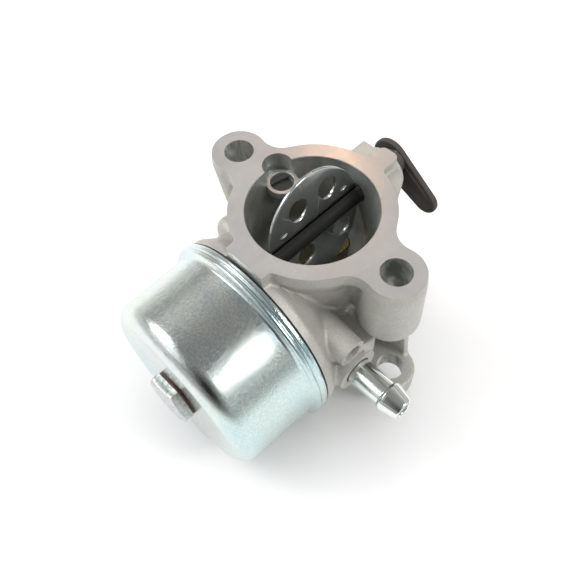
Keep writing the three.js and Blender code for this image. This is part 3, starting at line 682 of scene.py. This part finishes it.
def rough_casting():
    """The casting before machining, as overlapping shapes."""
    throat = [(0, 3), (12.8, 3), (12.8, 13), (14.0, 19), (16.2, 25), (17.3, 30), (17.6, 36)]
    throat += [(17.6, 40.4), (18.4, 41.2), (18.4, 44.5), (0, 44.5)]
    cover = [(0, LAND_Y - PROUD), (LAND_R, LAND_Y - PROUD), (LAND_R, LAND_Y + 1.9), (24.6, -17.6)]
    cover += [(23.0, -14.8), (20.0, -11.2), (16.5, -8.0), (13.0, -5.0), (12.2, -4), (0, -4)]
    pad = [(-0.9, 14), (4.1, 14)] + arc(2.9, 23.6, 1.2, 0, math.pi / 2, 7)
    pad += arc(0.3, 23.6, 1.2, math.pi / 2, math.pi, 7)
    gusset = [(9, ENGINE_THICK - 2), (28.6, ENGINE_THICK - 2), (27.8, 12), (23, 30), (9, 30)]
    nose = [(0, -20.8), (1.9, -20.2), (3.1, -18.8), (3.5, -17), (3.7, -8), (0, -8)]
    top, under = HEIGHT + PROUD, HEIGHT - AIR_THICK
    return [
        # air flange, its lip over the bowl, and the posts under its ears
        prism(flange_outline(**AIR_FLANGE), under, top),
        block(-5.7, 5.7, LAND_Y - PROUD, -17.2, under, top),
        *column(**LEFT_COLUMN),
        *column(**RIGHT_COLUMN),
        turned("z", (0, 0), throat, 96),
        turned("y", (0, BOWL_Z), cover, 128),
        # choke boss, the pad and lobe over it, and the tab beside it
        rod("y", (0, CHOKE_Z), 12, 26.4, 6.2, 5.9),
        prism(pad, CHOKE_Z, top),
        rod("z", (3.6, 18.6), 37, 45, 5.0, 5.6),
        block(-6.4, -1.2, 15, 24.2, 42.2, 46.3),
        # throttle bosses
        rod("y", (0, THROTTLE_Z), 8, 20.8, 4.8, 4.4),
        rod("y", (0, THROTTLE_Z), -17.2, -8, 4.2),
        # fuel inlet barrel, its rib and shoulder, and the pilot jet's boss
        rod("x", FUEL, 8, FUEL_END_X + PROUD, 6.2, 5.8),
        block(8, 22, -13.6, -9.4, FUEL[1], PILOT[1]),
        block(8, 25.4, -12, -4.6, 14.6, 26),
        rod("x", PILOT, 8, PILOT_END_X + PROUD, 5.3, 3.5),
        # the nose and the small post on the far side
        turned("x", (-11.2, 34.4), nose),
        rod("z", (-11.4, -16.0), 26, 39.5, 3.4, 3.0),
        # idle screw lug and idle pocket
        block(-13.5, -7.5, 5, 24.5, IDLE[1] - 3.4, IDLE[1] + 3.4),
        rod("x", IDLE_POCKET, -16.2, -8, 5.4, 6.2),
        # engine flange and the gusset behind its near ear
        prism_along_y(gusset, 4.8, 7.0),
        prism(flange_outline(**ENGINE_FLANGE), -PROUD, ENGINE_THICK),
    ]


def main_bore():
    """The bore, from the mouth's chamfer down through the venturi to the throttle."""
    mouth = [(0, HEIGHT + 2), (MOUTH_R + 0.5, HEIGHT + 2), (MOUTH_R + 0.15, HEIGHT)]
    mouth += [(MOUTH_R, HEIGHT - 0.2), (MOUTH_R, HEIGHT - 1.6), (CHOKE_BORE_R, HEIGHT - 3.0)]
    neck_z, neck_drop, steps = 27, 9.5, 12
    profile = mouth + [(CHOKE_BORE_R, neck_z)]
    for i in range(1, steps + 1):
        blend = (1 - math.cos(math.pi * i / steps)) / 2
        r = CHOKE_BORE_R + (VENTURI_R - CHOKE_BORE_R) * blend
        profile.append((r, neck_z - neck_drop * i / steps))
    profile += [(THROTTLE_BORE_R, 14), (THROTTLE_BORE_R, -2), (0, -2)]
    return turned("z", (0, 0), profile, 160)


def machining():
    """Everything that is cut after casting, in order."""
    far = 60
    jet_bore = [(0, 15), (2.1, 15), (2.1, PILOT_END_X - 0.7), (2.5, 26), (0, 26)]
    cuts = [
        # the air face, the engine face and the land that the bowl seals on
        block(-far, far, -far, far, HEIGHT, HEIGHT + 9),
        block(-far, far, -16.4, far, -12, 0),
        block(-far, far, -far, LAND_Y, -far, far),
        rod("y", (0, BOWL_Z), LAND_Y - 1, LAND_Y + 1.0, 22.4, sides=128),
        # the ends of the choke, throttle, fuel and pilot bosses, and both sides of the idle lug
        block(-8, 8, 25.3, 30, 32, 49),
        block(-6.6, 6.6, 19.8, 24, 1, 13.6),
        block(FUEL_END_X, 33, -20, -4, 11, 26.2),
        block(PILOT_END_X, 30, -18, -9.2, 25, 34),
        block(-20, -12.5, 17, 28, 9, 20),
        block(-8.5, -5, 17.5, 28, 9, 20),
        # bores
        main_bore(),
        rod("z", SCALLOP, SCALLOP_Z, HEIGHT + 1, 3.4, 3.7),
        rod("y", (0, CHOKE_Z), -17.6, 27, CHOKE_SHAFT_R + SHAFT_GAP),
        rod("y", (0, THROTTLE_Z), -15.6, 22, THROTTLE_SHAFT_R + SHAFT_GAP),
        rod("x", FUEL, 18, 30, TUBE_R + PRESS_GAP, sides=64),
        rod("x", FUEL, 13.1, 19, 1.6),
        rod("y", (NEEDLE_X, FUEL[1]), -16, FUEL[0], 1.4),
        turned("x", PILOT, jet_bore, 64),
        rod("x", PILOT, 12, 16, 1.2),
        rod("x", IDLE, -14, -7, 2.1),
        rod("x", IDLE_POCKET, -17, -14.6, 4.3),
        rod("x", IDLE_POCKET, -15, -12.6, 3.4),
    ]
    for side in (-1, 1):
        cuts.append(rod("z", (side * AIR_FLANGE["ear"], 0), 27, HEIGHT + 1, STUD_HOLE_R, sides=96))
        cuts.append(rod("z", (side * ENGINE_FLANGE["ear"], 0), -1, 7, STUD_HOLE_R, sides=96))
    return cuts


def vent_ring():
    """The ringed vent cup that stands into the bore, with a nub on each side."""
    x, y = VENT
    cup = [(0, 40.3), (3.6, 40.3), (3.9, 41.0), (3.9, 43.0), (2.9, 43.0), (2.9, 41.3), (0, 41.1)]
    nubs = []
    for a in (0.9, -2.1):
        at = (x + 3.8 * math.cos(a), y + 3.8 * math.sin(a))
        nubs.append(rod("z", at, 41.5, 43.1, 0.5, sides=20))
    return [turned("z", VENT, rounded(cup, 0.22), 64), *nubs]


def chamber_fittings():
    """What stands inside the bowl (stem, needle seat boss, hinge posts), and the bores in it."""
    stem = rod("y", (0, BOWL_Z), STEM_END_Y, LAND_Y + 2, 5.2, 5.8, sides=64)
    boss = rod("y", (NEEDLE_X, FUEL[1]), -21.4, LAND_Y + 2, 4.4)
    posts = []
    for side in (-1, 1):
        z = FUEL[1] + side * 5.6
        x0, x1 = HINGE[0] - 1.8, HINGE[0] + 1.4
        posts.append(block(x0, x1, HINGE[1] - 1.9, LAND_Y + 2, z - 0.9, z + 0.9))
    bores = [
        rod("y", (NEEDLE_X, FUEL[1]), LAND_Y - 3, -15.2, 3.3),
        rod("z", HINGE, FUEL[1] - 8, FUEL[1] + 8, 1.1, sides=32),
        rod("y", (0, BOWL_Z), STEM_END_Y - 1, -38, 4.0),
        rod("y", (0, BOWL_Z), -38.5, -32, 2.7),
        rod("y", NOZZLE, -32.5, -9, 1.8),
        rod("y", NOZZLE, 8, 13.6, 1.4),
        rod("z", (VENT[0] - 2.5, VENT[1]), 36, 42, 0.7),
    ]
    return [stem, boss, *posts], bores


# places in the casting's list of materials; 0 is the cast skin
MILLED_SKIN, BORED_SKIN, VENT_SHADE_SKIN, DRILLED_SKIN = 1, 2, 3, 4
NEAR = 0.02  # how close to a machined face still counts as on it


def paint_casting(mesh):
    """Milled, bored, drilled, painted-shade or cast skin, by where each face lies."""
    count = len(mesh.polygons)
    centre = np.zeros(count * 3)
    normal = np.zeros(count * 3)
    mesh.polygons.foreach_get("center", centre)
    mesh.polygons.foreach_get("normal", normal)
    x, y, z = centre.reshape(-1, 3).T / MM
    faces_y, faces_z = normal.reshape(-1, 3).T[1:]
    below_top = z < HEIGHT - NEAR
    skin = np.zeros(count, int)
    skin[~below_top & (faces_z > 0.9)] = MILLED_SKIN
    skin[(z < NEAR) & (faces_z < -0.9)] = MILLED_SKIN
    skin[(np.abs(y - LAND_Y) < NEAR) & (faces_y < -0.9)] = MILLED_SKIN
    skin[(np.hypot(x, y) < MOUTH_R + 0.1) & (z > 0.01) & below_top] = BORED_SKIN
    from_scallop = np.hypot(x - SCALLOP[0], y - SCALLOP[1])
    skin[(from_scallop < 3.72) & (z > 40) & below_top] = BORED_SKIN
    from_vent = np.hypot(x - VENT[0], y - VENT[1])
    skin[(from_vent < 4.5) & (z > 42.7) & (z < 43.3) & (faces_z > 0.3)] = MILLED_SKIN
    # painted shade: the inside of the vent cup is made near-black
    skin[(from_vent < 2.8) & (z > 40.5) & (z < 42.7)] = VENT_SHADE_SKIN
    for ear, low, high in (
        (AIR_FLANGE["ear"], 25, HEIGHT - NEAR),
        (ENGINE_FLANGE["ear"], -1, 6),
    ):
        for side in (-1, 1):
            in_hole = np.hypot(x - side * ear, y) < STUD_HOLE_R + NEAR
            skin[in_hole & (z > low) & (z < high)] = DRILLED_SKIN
    mesh.polygons.foreach_set("material_index", skin)
    mesh.polygons.foreach_set("use_smooth", skin != MILLED_SKIN)


def body_casting():
    """Cast in one skin, machined, then fitted with what is too fine for the remesh."""
    obj = make("body_casting_fine", *rough_casting())
    fuse(obj, voxel=0.42, smooth=9)
    carve(obj, machining())
    fittings, bores = chamber_fittings()
    carve(obj, vent_ring() + fittings, "UNION")
    carve(obj, bores)
    skins = [CAST, MILLED, BORED, VENT_SHADE, DRILLED]
    finish_piece(obj, "body", skins, "body_casting", 32)
    paint_casting(obj.data)


body_casting()


# ------------------------------------------------------------------ bowl and its screw
def float_bowl():
    """The drawn steel bowl: a rolled rim with two ridges, a round corner and a flat floor."""
    rim = [(25.6, BOWL_RIM_Y), (25.9, -21.55), (25.9, -22.5), (25.5, -22.8), (25.42, -23.0)]
    rim += [(25.75, -23.35), (25.8, -23.9), (25.45, -24.3), (24.75, -24.6), (24.3, -25.1)]
    corner = (23.8 - BOWL_CORNER_R, BOWL_FLOOR_Y + BOWL_CORNER_R)
    outer = [(24.12, -29.0), (23.95, -34.0)] + arc(*corner, BOWL_CORNER_R, 0, -math.pi / 2, 15)
    inner = arc(*corner, BOWL_CORNER_R - BOWL_WALL, -math.pi / 2, 0, 15)
    hole = [(8.6, BOWL_FLOOR_Y), (4.25, BOWL_FLOOR_Y), (4.25, BOWL_FLOOR_Y + BOWL_WALL)]
    profile = rim + outer + hole + inner + [(23.45, BOWL_RIM_Y), rim[0]]
    obj = make("float_bowl_fine", turned("y", (0, BOWL_Z), rounded(profile, 0.16, 2), 192))
    finish_piece(obj, "body", [BOWL_ZINC], "float_bowl", 50)


def bowl_screw():
    """The hex screw under the bowl, domed below, with the fuel holes in its hollow shank."""
    top, bottom = BOWL_FLOOR_Y - 0.6, BOWL_FLOOR_Y - 3.3
    hex_r = HEX_ACROSS / 2 / math.cos(math.pi / 6)
    first = math.radians(65)
    outline = arc(0, BOWL_Z, hex_r, first, first + FULL_TURN * 5 / 6, 6)
    obj = make("bowl_screw_fine", prism_along_y(outline, bottom, top))
    clear = hex_r + 0.3
    dome = [(0, bottom), (5.4, bottom), (6.2, bottom + 0.25), (clear, bottom + 0.75)]
    dome += [(clear, top + 1), (0, top + 1)]
    carve(obj, [turned("y", (0, BOWL_Z), dome, 96)], "INTERSECT")
    bevel(obj, 0.12, 2, 40)
    shank = [(0, top + 0.5), (3.7, top + 0.5), (3.7, -38.8), (3.3, -38.3)]
    shank += [(1.9, -38.3), (1.9, -44.5), (0, -44.5)]
    carve(obj, [turned("y", (0, BOWL_Z), shank)], "UNION")
    carve(obj, [rod("x", (-42, BOWL_Z), -6, 6, 0.9)])
    finish_piece(obj, "body", [HEX_ZINC], "bowl_screw", 30)


def washer():
    """The fibre washer between the hex and the bowl."""
    profile = [(4.2, -46.55), (6.3, -46.55), (6.3, -46.05), (4.2, -46.05), (4.2, -46.55)]
    obj = make("bowl_screw_washer_fine", turned("y", (0, BOWL_Z), rounded(profile, 0.2), 96))
    finish_piece(obj, "body", [FIBRE], "bowl_screw_washer")


def gasket():
    """The rubber ring between the bowl's rim and its land."""
    top = LAND_Y - 0.05
    profile = [(23.3, top - 0.3), (25.2, top - 0.3), (25.2, top), (23.3, top), (23.3, top - 0.3)]
    obj = make("bowl_gasket_fine", turned("y", (0, BOWL_Z), rounded(profile, 0.12), 128))
    finish_piece(obj, "body", [RUBBER], "bowl_gasket")


float_bowl()
bowl_screw()
washer()
gasket()


# ------------------------------------------------------------------ choke
def peg(r, y0, y1):
    """A round part on the choke's axis, with soft ends."""
    return turned("y", (0, 0), rounded([(0, y0), (r, y0), (r, y1), (0, y1)], 0.3), 64)


def choke_shaft():
    """The plastic shaft, moulded in one with its lever, with the slot that the plate sits in."""
    hub, tip = in_turned((-1.9, -0.8), CHOKE_LEAN), in_turned((10.2, -7.7), CHOKE_LEAN)
    outline = bar_outline(hub, CHOKE_LEVER["hub_r"], tip, CHOKE_LEVER["tip_r"], 40)
    obj = make("choke_shaft_fine", prism_along_y(outline, CHOKE_LEVER["y0"], CHOKE_LEVER["y1"]))
    bevel(obj, 0.5, 4, 40)
    barrel, collar = peg(CHOKE_SHAFT_R, -17.3, 29.5), peg(CHOKE_SHAFT_R + 0.8, 26.9, 29.2)
    plate_slot = block(-0.7, 0.7, -14.0, 15.0, -5, 5)
    carve(obj, [barrel, collar], "UNION")
    carve(obj, [plate_slot])
    swing(obj, CHOKE_Z, CHOKE_LEAN)
    finish_piece(obj, "choke", [NYLON], "choke_shaft", 38)


def choke_plate():
    """Oval plate with a rounded rim, four air holes and two snap dimples."""
    half = 0.4  # half its thickness
    along, across, middle = 14.2, 15.3, 0.5
    rim = rounded([(0, -half), (along, -half), (along, half), (0, half)], 0.25, 4)
    disc = turned("x", (middle, 0), rim, 128)
    disc.points[:, 2] *= across / along
    obj = make("choke_plate_fine", disc)
    hole, chamfer = 2.7, 0.2
    wide = hole + chamfer
    flare = [(0, -1), (wide, -1), (wide, -half), (hole, chamfer - half), (hole, half - chamfer)]
    flare += [(wide, half), (wide, 1), (0, 1)]
    air_holes = ((-3.2, 8.2), (6.0, 8.2), (-3.4, -6.0), (8.3, -6.0))
    carve(obj, [turned("x", at, flare, 48) for at in air_holes])
    dome = [(0, half + 0.4), (0.5, half + 0.34), (0.8, half + 0.15)]
    dome += [(0.95, half - 0.1), (0, half - 0.1)]
    dimples = []
    for y in (-8.6, 10.7):
        dimple = turned("x", (0, 0), dome, 32)
        dimple.points[:, 1] = dimple.points[:, 1] * 1.45 + y
        dimple.points[:, 2] = dimple.points[:, 2] * 0.65 + 4.4
        dimples.append(dimple)
    carve(obj, dimples, "UNION")
    swing(obj, CHOKE_Z, CHOKE_LEAN)
    finish_piece(obj, "choke", [PLATE], "choke_plate", 30)


choke_shaft()
choke_plate()


# ------------------------------------------------------------------ throttle and idle screw
def throttle_lever():
    """The lever, its stop arm, and the tang on it that meets the idle screw."""
    hub_r, y0, y1 = THROTTLE_LEVER["hub_r"], THROTTLE_LEVER["y0"], THROTTLE_LEVER["y1"]
    up = IDLE[1] - THROTTLE_Z
    link = in_turned((-14.0, 6.6), THROTTLE_TILT)
    arm = prism_along_y(bar_outline((0, 0), hub_r, link, 3.2, 32), y0, y1)
    stop = prism_along_y(bar_outline((0, 0), hub_r, (0.55, up + 0.6), 1.6, 24), y0, y1)
    tang = block(-0.2, 1.3, IDLE[0] - 1.6, y0 + 0.4, up - 1.6, up + 1.8)
    obj = make("throttle_lever_fine", arm)
    carve(obj, [stop, tang], "UNION")
    bevel(obj, 0.18, 3, 50)
    link_hole = rod("y", link, y0 - 1, y1 + 1.5, 1.3)
    shaft_hole = rod("y", (0, 0), y0 - 1, y1 + 1.5, THROTTLE_SHAFT_R + SHAFT_GAP, sides=64)
    carve(obj, [link_hole, shaft_hole])
    swing(obj, THROTTLE_Z, THROTTLE_TILT)
    finish_piece(obj, "throttle", [LEVER_ZINC], "throttle_lever", 35)


def screw_holes():
    """Holes for the two plate screws, through shaft and plate."""
    return [rod("z", (0, side * PLATE_SCREW_Y), -4, 4, 1.3) for side in (-1, 1)]


def throttle_shaft():
    """The shaft, with a groove for its clip and a flat for its plate."""
    r, neck = THROTTLE_SHAFT_R, 1.6
    profile = [(0, -15.3), (r, -15.3), (r, 26.7), (neck, 26.7), (neck, 27.2), (r, 27.2)]
    profile += [(r, 27.6), (0, 27.6)]
    obj = make("throttle_shaft_fine", turned("y", (0, 0), rounded(profile, 0.2), 64))
    carve(obj, [block(-3, 3, -9.5, 9.5, -0.3, 3), *screw_holes()])
    swing(obj, THROTTLE_Z, THROTTLE_TILT)
    finish_piece(obj, "throttle", [SHAFT_STEEL], "throttle_shaft", 35)


def throttle_plate():
    """The round brass plate on the shaft's flat."""
    r, thick = THROTTLE_PLATE_R, 0.9
    disc = turned("z", (0, 0), rounded([(0, 0), (r, 0), (r, thick), (0, thick)], 0.15), 128)
    obj = make("throttle_plate_fine", disc)
    carve(obj, screw_holes())
    swing(obj, THROTTLE_Z, THROTTLE_TILT)
    finish_piece(obj, "throttle", [BRASS], "throttle_plate", 35)


def plate_screw(index, side):
    """A plate screw, with its slotted head on the plate."""
    y = side * PLATE_SCREW_Y
    profile = [(0, -2.7), (1.0, -2.7), (1.0, 1.2), (2.0, 1.2), (2.0, 1.9), (1.5, 2.3), (0, 2.4)]
    body = turned("z", (0, y), rounded(profile, 0.15), 48)
    obj = make(f"throttle_plate_screw_{index}_fine", body)
    carve(obj, [block(-2.5, 2.5, y - 0.3, y + 0.3, 1.8, 3.2)])
    swing(obj, THROTTLE_Z, THROTTLE_TILT)
    finish_piece(obj, "throttle", [BRASS], f"throttle_plate_screw_{index}", 35)


def idle_screw():
    """The idle speed screw, with its thread as rings and a slot in its head."""
    crest, root, pitch, rings = 1.8, 1.55, 0.5, 34
    profile = [(0, -1.6), (1.3, -1.6), (1.75, -2.3), (crest, -2.6)]
    for i in range(rings):
        x = -2.6 - pitch * i
        profile += [(root, x - pitch / 2), (crest, x - pitch)]
    profile += [(crest, -20.0), (3.2, -20.0), (3.2, -22.1), (2.7, -22.6), (0, -22.6)]
    obj = make("idle_speed_screw_fine", turned("x", IDLE, profile, 48))
    carve(obj, [block(-23.6, -21.5, IDLE[0] - 0.4, IDLE[0] + 0.4, IDLE[1] - 4, IDLE[1] + 4)])
    finish_piece(obj, "idle_screw", [BRASS], "idle_speed_screw", 30)


def spring(name, path, wire):
    """A spring of this wire radius along a path."""
    obj = make(name + "_fine", sweep(path, wire))
    finish_piece(obj, "body", [SPRING_STEEL], name, 60)


throttle_lever()
throttle_shaft()
throttle_plate()
plate_screw(1, -1)
plate_screw(2, 1)
idle_screw()
spring("throttle_return_spring", helix("y", (0, THROTTLE_Z), 21.8, 3.6, 0.95, 2.6), 0.35)
spring("idle_speed_spring", helix("x", IDLE, -19.2, 2.6, 1.25, 4.7), 0.38)


# ------------------------------------------------------------------ fuel inlet, jets and nozzle
def fuel_tube():
    """The fuel inlet tube, with the barb at its end."""
    tip, root, r, bore = FUEL_TIP_X, 18.4, TUBE_R, TUBE_BORE_R
    profile = [(bore, root), (r, root), (r, tip - 5.6), (r + 0.45, tip - 5.3)]
    profile += [(r + 0.6, tip - 4.9), (r + 0.55, tip - 4.3), (r - 0.3, tip - 0.35)]
    profile += [(2.85, tip), (2.35, tip), (bore, tip - 0.25), (bore, root)]
    obj = make("fuel_inlet_tube_fine", turned("x", FUEL, rounded(profile, 0.12), 96))
    finish_piece(obj, "body", [TUBE_ZINC], "fuel_inlet_tube", 50)


def pilot_jet():
    """The slotted pilot jet, a little below the face of its boss."""
    face = PILOT_END_X - 0.8
    profile = [(0, 16.4), (1.85, 16.4), (1.85, face - 0.3), (1.6, face), (0, face)]
    obj = make("pilot_jet_fine", turned("x", PILOT, rounded(profile, 0.2), 64))
    y, z = PILOT
    slot = block(face - 1.1, 26, y - 3, y + 3, z - 0.4, z + 0.4)
    carve(obj, [rod("x", PILOT, 15, 22, 0.6), slot])
    finish_piece(obj, "body", [JET_STEEL], "pilot_jet", 35)


def nozzle():
    """The main nozzle, from the stem across the throat."""
    foot, tip, foot_r, tip_r = -31.6, 13.3, 1.5, 1.25
    profile = [(0, foot), (foot_r, foot), (foot_r, -11.4), (tip_r, -10.6), (tip_r, tip), (0, tip)]
    obj = make("main_nozzle_fine", turned("y", NOZZLE, rounded(profile, 0.2), 64))
    bores = [rod("y", NOZZLE, -32.6, -12, 0.8), rod("y", NOZZLE, -12.5, 1.0, 0.5)]
    outlet = rod("z", (0, 0), NOZZLE[1] - 2, NOZZLE[1], 0.45)
    carve(obj, [*bores, outlet])
    finish_piece(obj, "body", [BRASS], "main_nozzle", 35)


fuel_tube()
pilot_jet()
nozzle()

# CAD nodes whose shape is right keep it and take a finish
KEPT = {
    "choke_shaft_seal": FELT,
    "throttle_shaft_seal": FELT,
    "throttle_shaft_clip": SPRING_STEEL,
    "needle_seat": BRASS,
    "inlet_needle": SHAFT_STEEL,
    "needle_clip": SPRING_STEEL,
    "main_jet": BRASS,
    "welch_plug": JET_STEEL,
    "float": FLOAT_SKIN,
    "float_hinge_pin": SHAFT_STEEL,
}
for node, material in KEPT.items():
    kept = frame["nodes"][node]
    kept.data.materials.clear()
    kept.data.materials.append(material)

# ------------------------------------------------------------------ floor, light and camera
FLOOR_DROP = 0.0003
FLOOR_HALF = 3.0


def floor():
    """A wide sheet of white paper, just below the lowest point."""
    z = cad_low.z - FLOOR_DROP
    h = FLOOR_HALF
    mesh = bpy.data.meshes.new("floor")
    mesh.from_pydata([(-h, -h, z), (h, -h, z), (h, h, z), (-h, h, z)], [], [(0, 1, 2, 3)])
    obj = bpy.data.objects.new("floor", mesh)
    bpy.context.scene.collection.objects.link(obj)
    n = Nodes("paper", (0.86, 0.86, 0.86), 0.0, 0.7, Specular_IOR_Level=0.2)
    tone = n.ramp(n.noise(60, 3, 0.5), [(0.3, (0.855, 0.855, 0.86)), (0.7, (0.87, 0.87, 0.865))])
    obj.data.materials.append(n.use(tone))


def area_light(name, place, target, size, power, color=(1, 1, 1)):
    """A lamp of this size in metres and power in watts, facing the target."""
    light = bpy.data.lights.new(name, "AREA")
    light.shape = "RECTANGLE"
    light.size, light.size_y = size
    light.energy = power
    light.color = color
    obj = bpy.data.objects.new(name, light)
    obj.location = place
    way = Vector(target) - Vector(place)
    obj.rotation_mode = "QUATERNION"
    obj.rotation_quaternion = way.to_track_quat("-Z", "Y")
    bpy.context.scene.collection.objects.link(obj)
    return obj


# radiance of the room by the sine of the height above the horizon, on its -X and +X sides
ROOM_FAR = [(0.0, 0.16), (0.09, 0.3), (0.13, 1.3), (0.20, 1.2), (0.27, 0.12), (0.37, 0.14)]
ROOM_FAR += [(0.46, 0.5), (0.58, 0.7), (0.70, 0.56), (0.86, 0.46), (1.0, 0.26)]
ROOM_NEAR = [(0.0, 0.15), (0.06, 0.2), (0.10, 0.5), (0.18, 0.35), (0.23, 0.95), (0.30, 0.85)]
ROOM_NEAR += [(0.34, 0.4), (0.42, 0.6), (0.62, 0.7), (0.75, 0.42), (0.85, 0.32), (1.0, 0.26)]
ROOM_BLEND = 0.45  # sine of the angle to either side of X = 0 over which the sides meet
ROOM_BLUE = 0.99  # blue in proportion to red and green
DOORWAY = (0.57, -0.63, 0.52)  # direction of a dark opening in the room
DOORWAY_INSIDE, DOORWAY_OUTSIDE, DOORWAY_DARK = 0.25, 0.72, 0.03


def world():
    """A plain room: a dark skirting, lit walls and a grey ceiling, with one dark doorway."""
    scene_world = bpy.data.worlds.new("room")
    bpy.context.scene.world = scene_world
    scene_world.use_nodes = True
    room = Tree(scene_world.node_tree, "Generated")
    way = room.position()
    far, near = (
        room.ramp(way["Z"], [(at, (grey, grey, grey * ROOM_BLUE)) for at, grey in stops])
        for stops in (ROOM_FAR, ROOM_NEAR)
    )
    walls = room.mix(room.spread(way["X"], -ROOM_BLEND, ROOM_BLEND, 0, 1), far, near)
    apart = room.add("ShaderNodeVectorMath", operation="DISTANCE")
    room.link(room.place, apart.inputs[0])
    apart.inputs[1].default_value = DOORWAY
    apart = apart.outputs["Value"]
    back = room.tree.nodes["Background"]
    room.link(walls, back.inputs["Color"])
    shade = room.spread(apart, DOORWAY_INSIDE, DOORWAY_OUTSIDE, DOORWAY_DARK, 1)
    room.link(shade, back.inputs["Strength"])


floor()
world()
CENTRE = (0.005, -0.01, 0.02)  # of the carburetor
area_light("key", (-0.62, -0.36, 0.74), CENTRE, (0.4, 0.4), 2.6)
area_light("side", (0.64, 0.30, 0.60), CENTRE, (0.24, 0.26), 2.5)
area_light("front", (-0.52, -0.75, 0.70), CENTRE, (0.7, 0.8), 1.5)
# wide sheets of light for the paper, which the bright metal doesn't mirror
for place, power in (((-0.5, -0.2, 1.2), 9.6), ((0.3, 0.5, 1.3), 8.0)):
    sheet = area_light("sheet", place, CENTRE, (1.4, 1.4), power)
    sheet.visible_glossy = False
# a small warm lamp close to the far rim, for the glow on it
FAR_RIM = (-0.010, 0.0175, 0.0475)
WARM = (1.0, 0.5, 0.2)
warm = area_light("warm", (-0.031, 0.040, 0.093), FAR_RIM, (0.012, 0.012), 0.003, WARM)
warm.visible_camera = False

# the photograph's viewing angle, fitted to the flange ears, the mouth, the bowl and the tube
CAMERA_AT = (0.06342, -0.06224, 0.15906)
CAMERA_RIGHT = (0.6965, 0.7164, -0.0421)
CAMERA_UP = (-0.5982, 0.6121, 0.5173)
CAMERA_BACK = (0.3963, -0.3350, 0.8548)
CAMERA_LENS = 39.36
camera_data = bpy.data.cameras.new("camera")
camera_data.sensor_width = 36.0
camera_data.lens = CAMERA_LENS
camera_data.clip_start = 0.005
camera_data.clip_end = 20.0
camera = bpy.data.objects.new("camera", camera_data)
bpy.context.scene.collection.objects.link(camera)
axes = Matrix((CAMERA_RIGHT, CAMERA_UP, CAMERA_BACK)).transposed()
camera.matrix_world = Matrix.Translation(CAMERA_AT) @ axes.to_4x4()
bpy.context.scene.camera = camera
bpy.context.scene.view_settings.view_transform = "Standard"
